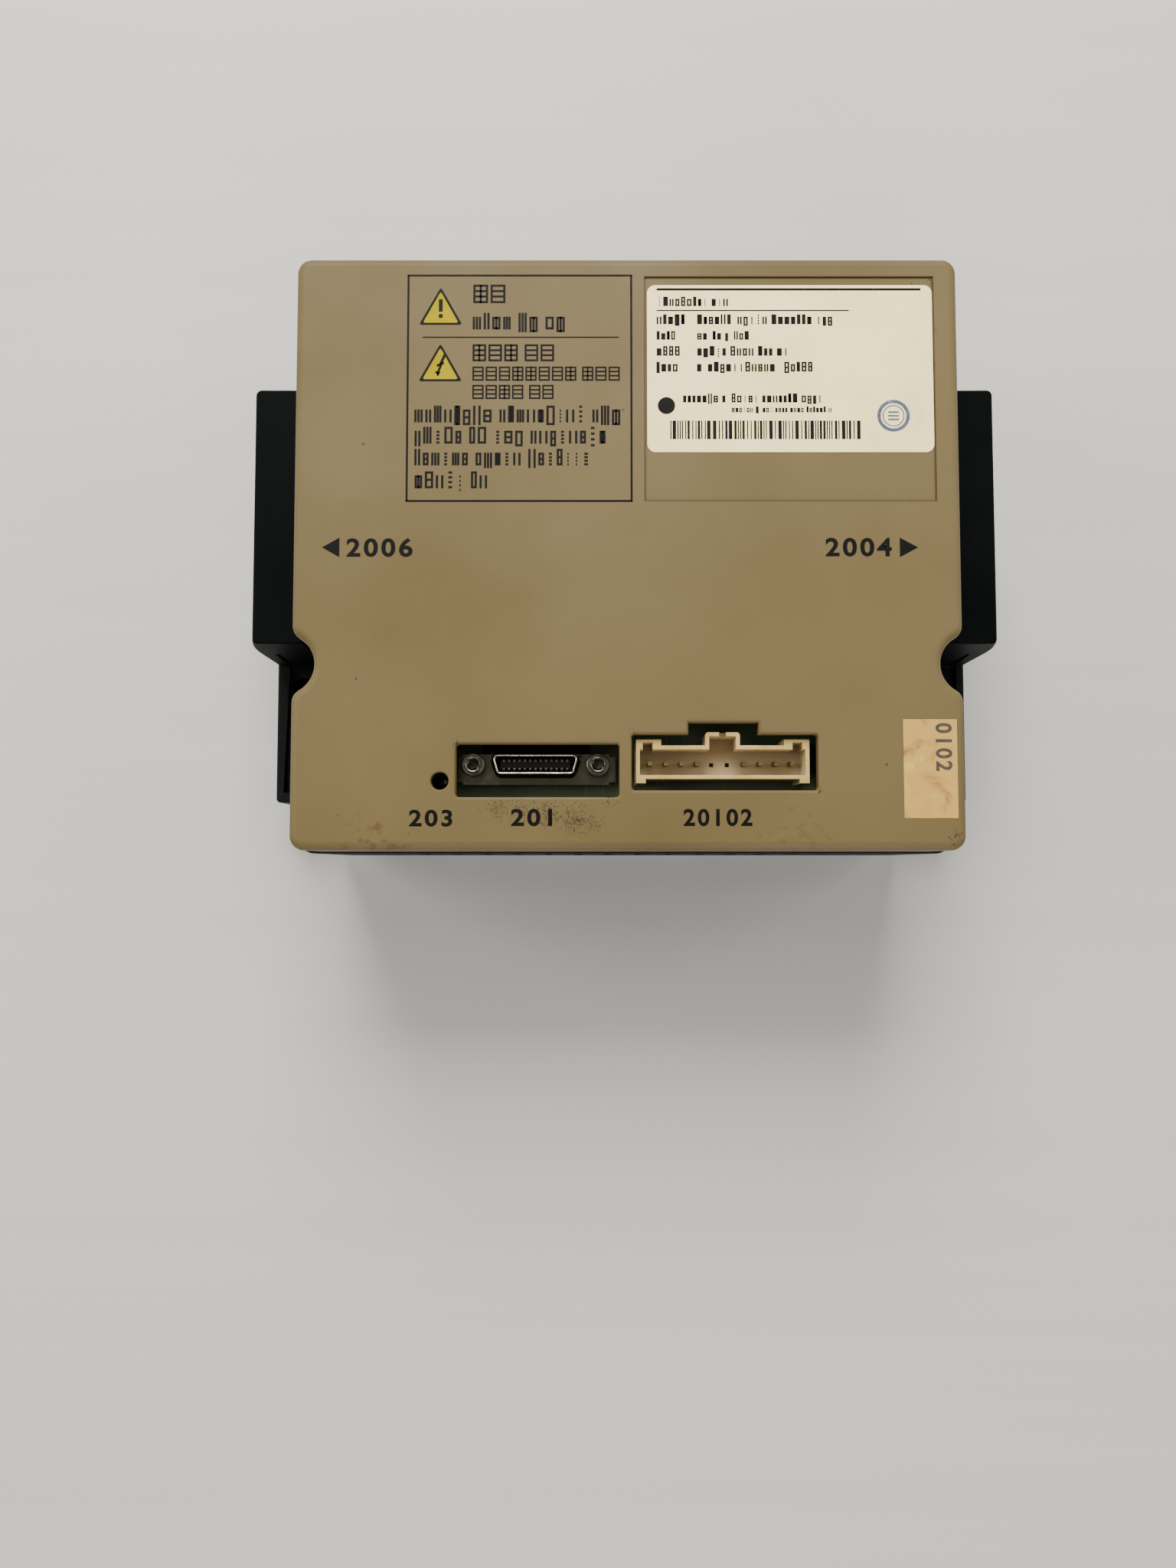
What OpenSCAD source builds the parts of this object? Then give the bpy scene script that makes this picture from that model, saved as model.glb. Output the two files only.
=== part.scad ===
// Servo drive, one axis: moulded front cover, black housing on an aluminium base
// plate, power and control boards, signal and power connectors.
// +Z points out of the front cover, +Y up the face, +X right as seen from the front.
// The origin is the centre of the rear mounting face. All sizes are in millimetres.

/* [Overall] */
// Width of the front cover
cover_w = 160; // [150:1:200]
// Height of the front cover
cover_h = 143.6; // [136:0.2:180]
// Depth from the mounting face to the front of the cover
total_d = 80; // [76:1:110]

/* [Front cover] */
// Depth of the cover's side walls
cover_d = 22; // [18:0.5:28]
// Thickness of the cover's side walls
cover_wall = 2.5; // [2:0.1:3]
// Thickness of the cover's front
front_t = 3; // [2:0.1:4]
// Plan radius of the cover's corners
corner_r = 3.5; // [3:0.1:8]
// Radius of the tool notch in each side
notch_r = 7.2; // [6:0.1:9]
// How far the notch's centre lies outside the cover's side
notch_out = 1.9; // [1:0.1:3]
// Height of the notch above the cover's centre
notch_y = -27.4; // [-30:0.1:-26]
// Blend radius where the notch meets the side
notch_blend = 3.5; // [3:0.1:5]
// Diameter of the hole over the status lamp
lamp_hole_d = 4.2; // [3.6:0.1:6]
// Depth of the recess for the rating label
label_recess = 0.4; // [0.2:0.1:1]
// Thickness of the printed labels
label_t = 0.12; // [0.1:0.01:0.2]

/* [Housing] */
// How far the housing stands beyond the cover at each side
body_step_x = 2.3; // [1:0.1:4]
// How far the housing stands beyond the cover at top and bottom
body_step_y = 0.5; // [0.2:0.1:2]
// Thickness of the housing's walls
body_wall = 2.5; // [2:0.1:3]
// Height of the side flanges' front face above the mounting face
flange_z = 20; // [16:0.5:22]
// Thickness of the side flanges' front wall
flange_t = 5; // [3:0.5:6]
// How far the side flanges stand beyond the cover
flange_out = 17.65; // [16:0.05:24]
// Half the height of the side flanges
flange_half_h = 57.5; // [52:0.5:62]
// Width of the raised rim along each flange
flange_rim = 2.8; // [2:0.1:4]
// Depth of the recess inside that rim
flange_recess = 1.6; // [1:0.1:2]
// Diameter of the two mounting holes
mount_hole_d = 5.4; // [4.5:0.1:6]
// Distance of each mounting hole beyond the cover's side
mount_out = 11; // [9:0.1:13]
// Height of the mounting holes relative to the cover's centre
mount_y = -24.2; // [-28:0.1:-23.5]
// Number of vent slots in the top wall and in the bottom wall
vent_count = 14; // [6:1:16]

/* [Connector hoods] */
// Lower end of the hoods
hood_y0 = -18.7; // [-19:0.1:-16]
// Upper end of the hoods
hood_y1 = 47.7; // [46:0.1:54]
// Thickness of the hoods' walls
hood_wall = 3; // [2:0.1:3.4]
// Gap between the hoods' front face and the cover's rim
hood_drop = 1; // [0.5:0.5:3]
// Radius of the crowned outer face
hood_crown_r = 54; // [40:1:80]
// Depth over which the outer face is crowned
hood_crown_d = 16; // [10:1:20]

/* [Base plate] */
// Thickness of the aluminium base plate
base_t = 8; // [6:0.5:10]
// How far the base plate stays inside the housing's outline
base_inset = 1.2; // [0.8:0.1:1.5]

/* [Boards] */
// Thickness of the circuit boards
pcb_t = 1.6; // [1:0.1:2]
// Length of the lower standoffs, from base plate to power board
lower_post = 20; // [20:0.5:24]
// Width across the flats of the standoffs
post_af = 5.5; // [5:0.1:6]
// Clearance between a board and the walls around it
board_gap = 1; // [0.8:0.1:2]
// Distance of the standoffs from the boards' edges
post_inset = 5; // [4.5:0.5:8]

/* [Signal connector] */
// Distance of the connector's centre left of the cover's centre
signal_x = -22; // [-24:0.1:-20]
// Height of the connector above the cover's lower edge
signal_up = 20.7; // [19:0.1:24]
// Number of contacts in each row
signal_count = 13; // [10:1:13]
// Spacing of the contacts along a row
signal_pitch = 1.27; // [1:0.01:1.3]
// Width of the connector's shell at its wide side
signal_shell_w = 20.9; // [20:0.1:22]
// Height of the connector's shell
signal_shell_h = 4.8; // [4.6:0.1:5.6]
// Spacing of the two jack sockets
jack_pitch = 30.1; // [30:0.1:32]
// Outer diameter of the jack sockets
jack_d = 5.7; // [5:0.1:6]
// Thread bore of the jack sockets
jack_bore = 2.2; // [2:0.05:2.9]

/* [Input and output header] */
// Distance of the header's centre right of the cover's centre
header_x = 22.7; // [22:0.1:26]
// Height of the header above the cover's lower edge
header_up = 21; // [20:0.1:24]
// Number of contact positions
header_count = 10; // [8:1:10]
// Spacing of the contact positions
header_pitch = 3.81; // [3.5:0.01:4]
// Width of the header across its short side, between the keyed ends
header_h = 8.1; // [7.8:0.1:9]
// Wall of the header
header_wall = 1; // [0.8:0.1:1.2]
// Height of the header above its board
header_tall = 11; // [10:0.5:14]
// Depth of the header's rim below the cover's front
header_sunk = 2.5; // [1:0.5:4]

/* [Hidden] */

$fn = 48;
fit = 0.3;
screw_play = 0.05;
over = 1;
bond = 0.01;
lip_t = 1.4;
lip_h = 3.5;

// Colours
beige = "#a08c66";
black_plastic = "#17191b";
board_green = "#2f4a33";
contact_tin = "#b9b4a4";
contact_gold = "#c9a24a";

// Outlines and heights that follow from the sizes above
half_w = cover_w / 2;
half_h = cover_h / 2;
rim_z = total_d - cover_d;
body_half_w = half_w + body_step_x;
body_half_h = half_h + body_step_y;
flange_half_w = half_w + flange_out;
notch_gap = 0.5;
blend_span = sqrt(pow(notch_r + notch_blend, 2) - pow(notch_out + notch_blend, 2));
mount_x = half_w + mount_out;

power_under_z = base_t + lower_post;
power_top_z = power_under_z + pcb_t;
control_top_z = total_d - header_sunk - header_tall;
control_under_z = control_top_z - pcb_t;
board_inset = cover_wall + fit + lip_t + board_gap;
post_x = half_w - board_inset - post_inset;
post_y = half_h - board_inset - post_inset;
screw_d = 3;
screw_head_d = 5.5;
screw_head_h = 2;
head_ratio = 1.9;

signal_y = -half_h + signal_up;
header_y = -half_h + header_up;
header_end = 3.55;
header_w = (header_count - 1) * header_pitch + 2 * header_end;
plate_w = jack_pitch + 8.5;
lamp_x = -44.4;
lamp_y = -half_h + 16.4;

// Rectangle with round corners, centred
module rounded_rect(w, h, r) {
    square([w - 2 * r, h], center = true);
    square([w, h - 2 * r], center = true);
    for (x = [-1, 1], y = [-1, 1])
        translate([x * (w / 2 - r), y * (h / 2 - r)]) circle(r);
}

// Box given by its lowest corner and its size, with the corner at x, y, z
module block(x, y, z, size) {
    translate([x, y, z]) cube(size);
}

// Tool notches in both sides, grown outward by a distance
module side_notches(grow) {
    for (side = [0, 1]) mirror([side, 0]) translate([half_w, notch_y]) {
        translate([notch_out, 0]) circle(notch_r + grow);
        if (notch_blend - grow > 0.2) difference() {
            polygon([[notch_out + notch_r, blend_span], [-notch_blend, blend_span],
                [notch_out, 0], [-notch_blend, -blend_span],
                [notch_out + notch_r, -blend_span]]);
            for (y = [-blend_span, blend_span])
                translate([-notch_blend, y]) circle(notch_blend - grow);
        }
    }
}

// Outline of the cover, moved inward by a distance
module cover_outline(inset) {
    difference() {
        rounded_rect(cover_w - 2 * inset, cover_h - 2 * inset, max(corner_r - inset, 0.4));
        side_notches(inset);
    }
}

// Outline of the housing's box, moved inward by a distance
module body_outline(inset) {
    difference() {
        rounded_rect(2 * (body_half_w - inset), 2 * (body_half_h - inset), max(4 - inset, 0.5));
        side_notches(notch_gap + inset);
    }
}

// Outline of the housing's foot with its side flanges, moved inward by a distance
module foot_outline(inset) {
    rounded_rect(2 * (body_half_w - inset), 2 * (body_half_h - inset), max(4 - inset, 0.5));
    rounded_rect(2 * (flange_half_w - inset), 2 * (flange_half_h - inset), 1.2);
}

// Outline of both circuit boards, which pass through the housing's lip
module board_outline() {
    difference() {
        rounded_rect(cover_w - 2 * board_inset, cover_h - 2 * board_inset, 1.5);
        side_notches(board_inset);
    }
}

// Places its children at the four standoffs
module at_posts() {
    for (x = [-post_x, post_x], y = [-post_y, post_y]) translate([x, y, 0]) children();
}

// Cone of a countersunk head, wide end at z = 0
module screw_cone(d) {
    cylinder(h = d * 0.6, d1 = d * head_ratio, d2 = d);
}

// Countersunk screw with its head's flat face at z = 0 and its shank along +Z
module countersunk_screw(d, length) {
    screw_cone(d);
    cylinder(h = length, d = d);
}

// Pan-head screw with the underside of its head at z = 0 and its shank along -Z
module pan_screw(d, length, head_d, head_h) {
    difference() {
        cylinder(h = head_h, d = head_d);
        for (turn = [0, 90]) rotate(turn)
            translate([-head_d * 0.3, -0.35, head_h * 0.45]) cube([head_d * 0.6, 0.7, head_h]);
    }
    translate([0, 0, -length]) cylinder(h = length + bond, d = d);
}

// ---- Front cover ----

signal_cut_w = plate_w;
signal_cut_h = 12.6;
signal_cut_off = [0.7, -1.8];
header_cut_w = header_w + 2.6;
header_cut_h = 13.3;
header_cut_off = [0.3, -0.15];
tab_w = 16.6;
tab_h = 9.3;
cut_r = 0.8;
recess_x = 39.15;
recess_w = 69.7;
recess_h = 55.1;
recess_down = 4.9;
latch_w = 9;
latch_t = 1.5;
latch_deep = 7;
latch_x = 46;
latch_gap = 0.6;
latch_root = 8;
latch_nub = 0.2;
latch_nub_h = 1.6;
rib_x = 60;
rib_y = -10;
rib_t = 1.6;
rib_h = 2.5;
rib_length = 60;

// Openings in the cover's front for the two connectors
module connector_cutouts() {
    translate([signal_x, signal_y] + signal_cut_off)
        rounded_rect(signal_cut_w, signal_cut_h, cut_r);
    translate([header_x, header_y] + header_cut_off)
        rounded_rect(header_cut_w, header_cut_h, cut_r);
    translate([header_x - tab_w / 2, header_y]) square([tab_w, tab_h]);
}

module front_cover() {
    color(beige) {
        difference() {
            translate([0, 0, rim_z]) linear_extrude(cover_d) cover_outline(0);
            translate([0, 0, rim_z - over])
                linear_extrude(cover_d - front_t + over) cover_outline(cover_wall);
            translate([0, 0, total_d - front_t - over])
                linear_extrude(front_t + 2 * over) connector_cutouts();
            translate([lamp_x, lamp_y, total_d - front_t - over])
                cylinder(h = front_t + 2 * over, d = lamp_hole_d);
            block(recess_x - recess_w / 2, half_h - recess_down - recess_h, total_d - label_recess,
                [recess_w, recess_h, over]);
        }
        // Snap tongues, one pair on the top wall and one on the bottom wall
        for (x = [-latch_x, latch_x], side = [0, 1]) mirror([0, side, 0])
            translate([x - latch_w / 2, half_h - cover_wall - latch_t, rim_z - latch_deep]) {
                cube([latch_w, latch_t + bond, latch_deep + latch_root]);
                translate([0, latch_t, 0]) cube([latch_w, latch_nub, latch_nub_h]);
            }
        // Stiffening ribs across the inside of the front
        for (x = [-rib_x, rib_x]) block(x - rib_t / 2, rib_y, total_d - front_t - rib_h,
            [rib_t, rib_length, rib_h + bond]);
    }
}

// Rating label in its recess
module rating_label() {
    label_w = 68.9;
    label_h = 41.2;
    label_down = 6.9;
    color("#ddd6c2")
        translate([recess_x + 0.2, half_h - label_down - label_h / 2, total_d - label_recess])
        linear_extrude(label_t) rounded_rect(label_w, label_h, 2);
}

// Paper sticker at the lower right
module paper_sticker() {
    sticker_w = 12.7;
    sticker_h = 23.4;
    color("#c8ac78") block(half_w - 2.2 - sticker_w, -half_h + 7.6, total_d,
        [sticker_w, sticker_h, label_t]);
}

// ---- Housing ----

boss_d = 8;
boss_h = 14;
case_screw_d = 2.5;
boss_bore = case_screw_d + 2 * screw_play;
head_sunk = 0.3;
boss_x = 30;
boss_y = body_half_h - body_wall - boss_d / 2 + 0.5;
foot_wall = 3;
vent_w = 2.2;
vent_h = 20;
vent_z = 32;
vent_pitch = 8;
sill_gap = 0.6;
collar_t = 2.5;
window_y0 = hood_y0 + hood_wall;
window_y1 = hood_y1 - hood_wall;
window_z0 = power_top_z - sill_gap;
window_z1 = rim_z - hood_drop - hood_wall;

// Places its children at the four screws that hold the housing to the base plate
module at_bosses() {
    for (x = [-boss_x, boss_x], y = [-boss_y, boss_y]) translate([x, y, 0]) children();
}

module housing() {
    shelf_t = 3;
    deck_under_z = flange_z - flange_t;
    recess_w = flange_half_w - flange_rim - body_half_w;
    lip_inset = cover_wall + fit + lip_t;
    color(black_plastic) difference() {
        union() {
            translate([0, 0, base_t]) linear_extrude(flange_z - base_t) foot_outline(0);
            translate([0, 0, flange_z - over])
                linear_extrude(rim_z - flange_z + over) body_outline(0);
            translate([0, 0, rim_z - over])
                linear_extrude(lip_h + over) cover_outline(cover_wall + fit);
        }
        // Hollow of the box, narrower at the shelf and lip that the cover sits on
        translate([0, 0, base_t - over])
            linear_extrude(rim_z - shelf_t - base_t + over) difference() {
            body_outline(body_wall);
            at_bosses() circle(d = boss_d);
        }
        translate([0, 0, base_t + boss_h])
            linear_extrude(rim_z - shelf_t - base_t - boss_h) body_outline(body_wall);
        translate([0, 0, base_t + boss_h]) linear_extrude(total_d) cover_outline(lip_inset);
        at_bosses() translate([0, 0, base_t - over]) cylinder(h = boss_h, d = boss_bore);
        // Hollow of the foot under the flanges' front wall, around the screw bosses
        translate([0, 0, base_t - over])
            linear_extrude(deck_under_z - base_t + over) difference() {
            foot_outline(foot_wall);
            at_bosses() circle(d = boss_d);
            for (x = [-mount_x, mount_x])
                translate([x, mount_y]) circle(d = mount_hole_d + 2 * collar_t);
        }
        for (side = [0, 1]) mirror([side, 0, 0]) {
            // Recess inside the flange's rim, and the mounting hole in it
            block(body_half_w, -flange_half_h + flange_rim, flange_z - flange_recess,
                [recess_w, flange_half_h - flange_rim + hood_y0, flange_recess + over]);
            translate([mount_x, mount_y, base_t - over]) cylinder(h = flange_z, d = mount_hole_d);
            // Tool channel behind the cover's notch
            translate([0, 0, flange_z - flange_recess])
                linear_extrude(total_d) side_notches(notch_gap);
            // Window for the power connector
            block(connector_x0, window_y0, window_z0,
                [flange_half_w, window_y1 - window_y0, window_z1 - window_z0]);
        }
        // Vent slots in the top and bottom walls
        for (k = [0 : vent_count - 1], side = [0, 1]) mirror([0, side, 0])
            block((k - (vent_count - 1) / 2) * vent_pitch - vent_w / 2,
                body_half_h - body_wall - over, vent_z, [vent_w, body_wall + 2 * over, vent_h]);
        // Gaps in the lip for the cover's snap tongues
        for (x = [-latch_x, latch_x], side = [0, 1]) mirror([0, side, 0])
            block(x - latch_w / 2 - fit, half_h - cover_wall - latch_t - latch_gap,
                rim_z - shelf_t - over,
                [latch_w + 2 * fit, latch_t + latch_gap + body_step_y,
                    shelf_t + lip_h + 2 * over]);
    }
}

// Hood over one power connector, on the right; it is mirrored for the left
module hood() {
    depth = rim_z - hood_drop - flange_z;
    crown_z = rim_z - hood_drop - hood_crown_d;
    groove_x = flange_half_w - 4.9;
    groove_w = 0.9;
    cap_w = 8;
    length = hood_y1 - hood_y0;
    color(black_plastic) difference() {
        block(body_half_w, hood_y0, flange_z, [flange_half_w - body_half_w, length, depth]);
        difference() {
            block(flange_half_w - cap_w, hood_y0 - over, crown_z,
                [cap_w + over, length + 2 * over, total_d]);
            translate([flange_half_w - hood_crown_r, hood_y0 - 2 * over, crown_z])
                rotate([-90, 0, 0]) cylinder(h = length + 4 * over, r = hood_crown_r, $fn = 360);
        }
        block(body_half_w - over, window_y0, window_z0,
            [flange_half_w, window_y1 - window_y0, window_z1 - window_z0]);
        block(groove_x - groove_w / 2, hood_y0 - over, flange_z - over,
            [groove_w, over + groove_w, crown_z - flange_z + over]);
    }
}

module left_hood() mirror([1, 0, 0]) hood();

module right_hood() hood();

// ---- Base plate and its screws ----

module_hole_x = 47;
module_hole_y = 22;
module_y = -12;
module_screw_d = 4;

// Places its children at the power module's four screws
module at_module_screws() {
    for (x = [-module_hole_x, module_hole_x], y = [-module_hole_y, module_hole_y])
        translate([x, module_y + y, 0]) children();
}

module base_plate() {
    color("#b4b6b8") difference() {
        linear_extrude(base_t) foot_outline(base_inset);
        for (x = [-mount_x, mount_x]) translate([x, mount_y, -over])
            cylinder(h = base_t + 2 * over, d = mount_hole_d);
        at_bosses() {
            translate([0, 0, -over]) cylinder(h = base_t + 2 * over, d = case_screw_d + 0.4);
            translate([0, 0, -over])
                cylinder(h = over + head_sunk + bond, d = case_screw_d * head_ratio);
            translate([0, 0, head_sunk]) screw_cone(case_screw_d);
        }
        at_module_screws() translate([0, 0, 1])
            cylinder(h = base_t, d = module_screw_d + 2 * screw_play);
        at_posts() translate([0, 0, 2]) cylinder(h = base_t, d = screw_d + 2 * screw_play);
    }
}

module housing_screws() {
    color("#8d8f90") at_bosses() translate([0, 0, head_sunk]) difference() {
        countersunk_screw(case_screw_d, base_t + 9);
        for (turn = [0, 90]) rotate(turn)
            translate([-1.6, -0.35, -over]) cube([3.2, 0.7, over + 0.9]);
    }
}

// ---- Power module under the power board ----

module_w = 104;
module_h = 56;
sheet_t = 0.4;
copper_t = 3;
module_gap = 3;
module_corner = 12;
module_top_z = power_under_z - module_gap;

module thermal_sheet() {
    color("#8f9496") difference() {
        translate([0, module_y, base_t])
            linear_extrude(sheet_t) rounded_rect(module_w, module_h, 2);
        at_module_screws() cylinder(h = total_d, d = module_screw_d + 0.6);
    }
}

module module_base() {
    color("#b87845") difference() {
        translate([0, module_y, base_t + sheet_t])
            linear_extrude(copper_t) rounded_rect(module_w, module_h, 2);
        at_module_screws() cylinder(h = total_d, d = module_screw_d + 0.4);
    }
}

module power_module() {
    z0 = base_t + sheet_t + copper_t;
    color("#26282a") translate([0, module_y, z0]) linear_extrude(module_top_z - z0) {
        rounded_rect(module_w, module_h - 2 * module_corner, 2);
        rounded_rect(module_w - 2 * module_corner, module_h, 2);
    }
}

module module_screws() {
    z0 = base_t + sheet_t + copper_t;
    color("#8d8f90") at_module_screws() translate([0, 0, z0])
        pan_screw(module_screw_d, 8, module_screw_d * 2, 2.6);
}

pin_row_y = 23;
pin_count = 12;
pin_pitch = 6;
pin_w = 1;

// Places its children at the power module's pins
module at_module_pins() {
    for (k = [0 : pin_count - 1], y = [-pin_row_y, pin_row_y])
        translate([(k - (pin_count - 1) / 2) * pin_pitch, module_y + y, 0]) children();
}

module module_pins() {
    color(contact_tin) at_module_pins()
        block(-pin_w / 2, -pin_w / 2, module_top_z, [pin_w, pin_w, power_top_z + 1.2 - module_top_z]);
}

// ---- Standoffs ----

// Hexagonal standoff from z0 to z1 with a stud below it
module standoff(z0, z1, stud) {
    difference() {
        translate([0, 0, z0]) cylinder(h = z1 - z0, d = post_af / cos(30), $fn = 6);
        translate([0, 0, z1 - 7]) cylinder(h = 7 + over, d = screw_d + 2 * screw_play);
    }
    translate([0, 0, z0 - stud]) cylinder(h = stud + bond, d = screw_d);
}

module lower_standoffs() {
    color("#c2a45a") at_posts() standoff(base_t, power_under_z, 5);
}

module upper_standoffs() {
    color("#c2a45a") at_posts() standoff(power_top_z, control_under_z, pcb_t + 5);
}

// ---- Power board and its parts ----

contact_pitch = 10.16;
contact_count = 5;
contact_rows = 2;
connector_y = (hood_y0 + hood_y1) / 2;
tail_x = body_half_w - 11;

// Places its children at the tails of one side's power contacts
module at_tails() {
    for (k = [0 : contact_count - 1], row = [0 : contact_rows - 1])
        translate([tail_x - row * tail_step, blade_y(k), 0]) children();
}

module power_board() {
    color(board_green) difference() {
        translate([0, 0, power_under_z]) linear_extrude(pcb_t) board_outline();
        at_posts() cylinder(h = total_d, d = screw_d + 0.3);
        at_module_pins() cylinder(h = total_d, d = pin_w * 1.6);
        for (side = [0, 1]) mirror([side, 0, 0]) at_tails() cylinder(h = total_d, d = 2.6);
        at_link_pins() cylinder(h = power_top_z + over, d = 1);
    }
}

capacitor_d = 25;
capacitor_h = min(30, control_under_z - power_top_z - 4);
capacitor_y = 46;

module bus_capacitors() {
    color("#2a3440") for (x = [-42, -14, 14, 42]) translate([x, capacitor_y, power_top_z])
        difference() {
            cylinder(h = capacitor_h, d = capacitor_d);
            translate([0, 0, 2.5]) rotate_extrude() translate([capacitor_d / 2 + 0.4, 0]) circle(0.9);
            for (turn = [0, 60, 120]) rotate(turn)
                translate([-capacitor_d * 0.3, -0.3, capacitor_h - 0.4])
                    cube([capacitor_d * 0.6, 0.6, over]);
        }
}

module film_capacitor() {
    color("#a8402c") translate([-24, 20, power_top_z])
        linear_extrude(20) rounded_rect(32, 13, 1);
}

module current_sensors() {
    color("#20242a") for (side = [-1, 1]) translate([side * 50, 0, power_top_z]) difference() {
        translate([-7, -11, 0]) cube([14, 22, 18]);
        translate([-8, -4, 7]) cube([16, 8, 6]);
    }
}

module brake_relay() {
    color("#1f4f8c") translate([22, 20, power_top_z])
        linear_extrude(16) rounded_rect(29, 13, 0.8);
}

module brake_resistors() {
    color("#d9d4c6") for (y = [-50, -61]) translate([-10, y, power_top_z + 1])
        translate([-24, -4.5, 0]) difference() {
            cube([48, 9, 9]);
            for (x = [2, 44]) translate([x, 2.5, 8.2]) cube([2, 4, over]);
        }
}

core_w = 26;
core_h = 22;
core_t = 8;
core_leg = 6;
core_window = 4.4;
transformer_x = 0;
transformer_y = -12;
core_z = power_top_z + 6;

module transformer_core() {
    color("#3a3b3e") translate([transformer_x, transformer_y, core_z]) difference() {
        translate([-core_w / 2, -core_h / 2, 0]) cube([core_w, core_h, core_t]);
        for (side = [-1, 1]) translate([side * (core_w / 4 + 0.5), 0, core_t / 2])
            cube([core_window, core_h - 2 * core_leg, core_t + 2 * over], center = true);
    }
}

module transformer_coil() {
    gap = 0.3;
    leg_w = core_w / 2 + 1 - core_window;
    inner_w = leg_w + 2 * gap;
    inner_h = core_t + 2 * gap;
    side_t = 3.2;
    coil_w = inner_w + 2 * side_t;
    coil_h = core_h - 2 * core_leg - 2 * gap;
    color("#c9952f") translate([transformer_x, transformer_y, 0]) difference() {
        block(-coil_w / 2, -coil_h / 2, power_top_z,
            [coil_w, coil_h, core_z - gap + inner_h + 4 - power_top_z]);
        block(-inner_w / 2, -core_h, core_z - gap, [inner_w, 2 * core_h, inner_h]);
    }
}

module optocouplers() {
    color("#e8e6de") for (k = [0 : 5]) translate([(k - 2.5) * 11, -40.5, power_top_z]) {
        block(-3.3, -4.2, 0.5, [6.6, 8.4, 3.4]);
        for (x = [-3.9, 3.3], y = [-3, -0.4, 2.2]) block(x, y, 0, [0.6, 0.8, 2.2]);
    }
}

// ---- Power connectors in the side hoods ----

connector_in = 17;
connector_sunk = 7;
connector_x0 = body_half_w - connector_in;
connector_x1 = flange_half_w - connector_sunk;
connector_z1 = window_z1 - fit;
shroud_wall = 2;
shroud_deep = 15;
row_pitch = 10.4;
row_z = (power_top_z + connector_z1) / 2;
tail_w = 2;
tail_t = 0.8;
tail_step = 4;
blade_w = 5;
blade_short = 4;
tail_out = 1.5;
slot_w = 3;
slot_deep = 6;
slit = 0.1;

// Height of the middle of one row of blades
function blade_z(row) = row_z + (row - (contact_rows - 1) / 2) * row_pitch;

// Place of one blade along the connector
function blade_y(k) = connector_y + (k - (contact_count - 1) / 2) * contact_pitch;

// One contact: blade, shank through the shroud's back, and tail down to the board
module power_contact(k, row, grow) {
    x0 = tail_x - row * tail_step - tail_t / 2;
    back_x = connector_x1 - shroud_deep;
    t = tail_t + 2 * grow;
    w = tail_w + 2 * grow;
    block(x0 - grow, blade_y(k) - w / 2, blade_z(row) - t / 2,
        [back_x + grow - x0 + over, w, t]);
    block(back_x, blade_y(k) - blade_w / 2, blade_z(row) - t / 2,
        [shroud_deep - blade_short, blade_w, t]);
    block(x0 - grow, blade_y(k) - w / 2, power_under_z - tail_out,
        [t, w, blade_z(row) - power_under_z + tail_out]);
}

module power_connector() {
    length = window_y1 - window_y0 - 2 * fit;
    tall = connector_z1 - power_top_z;
    color("#c9c2ae") difference() {
        block(connector_x0, window_y0 + fit, power_top_z,
            [connector_x1 - connector_x0, length, tall]);
        block(connector_x1 - shroud_deep, window_y0 + fit + shroud_wall,
            power_top_z + shroud_wall,
            [shroud_deep + over, length - 2 * shroud_wall, tall - 2 * shroud_wall]);
        for (k = [0 : contact_count - 1], row = [0 : contact_rows - 1])
            power_contact(k, row, slit);
        // Polarising slots in the outer edge
        for (k = [0, contact_count - 1])
            block(connector_x1 - slot_deep, blade_y(k) - slot_w / 2,
                connector_z1 - shroud_wall - over,
                [slot_deep + over, slot_w, shroud_wall + 2 * over]);
    }
}

module left_power_connector() mirror([1, 0, 0]) power_connector();

module right_power_connector() power_connector();

module power_contacts() {
    color(contact_tin) for (k = [0 : contact_count - 1], row = [0 : contact_rows - 1])
        power_contact(k, row, 0);
}

module left_power_contacts() mirror([1, 0, 0]) power_contacts();

module right_power_contacts() power_contacts();

// ---- Board-to-board link ----

link_x = 50;
link_y = -30;
link_count = 10;
link_pitch = 2.54;
link_w = link_count * link_pitch + 1;
link_h = 5.6;
socket_h = 8.5;

// Places its children at the pins of the link
module at_link_pins() {
    for (k = [0 : link_count - 1], y = [-0.5, 0.5])
        translate([link_x + (k - (link_count - 1) / 2) * link_pitch, link_y + y * link_pitch, 0])
            children();
}

module link_header() {
    color("#1c1d1f") difference() {
        block(link_x - link_w / 2, link_y - link_h / 2, power_top_z, [link_w, link_h, 3]);
        at_link_pins() block(-0.33, -0.33, 0, [0.66, 0.66, total_d]);
    }
}

module link_pins() {
    color(contact_gold) at_link_pins()
        block(-0.32, -0.32, power_under_z - 1.2,
            [0.64, 0.64, control_under_z - socket_h + 6 - power_under_z + 1.2]);
}

module link_socket() {
    color("#1c1d1f") difference() {
        block(link_x - link_w / 2, link_y - link_h / 2, control_under_z - socket_h,
            [link_w, link_h, socket_h]);
        at_link_pins() block(-0.45, -0.45, 0, [0.9, 0.9, control_under_z - 1.5]);
    }
}

// ---- Control board and its parts ----

module control_board() {
    color(board_green) difference() {
        translate([0, 0, control_under_z]) linear_extrude(pcb_t) board_outline();
        at_posts() cylinder(h = total_d, d = screw_d + 0.3);
        at_header_pins() cylinder(h = total_d, d = 1.5);
        translate([signal_x, signal_y]) for (x = [-1, 1]) translate([x * jack_pitch / 2, 0])
            cylinder(h = total_d, d = stud_d + 2 * screw_play);
    }
}

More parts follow.
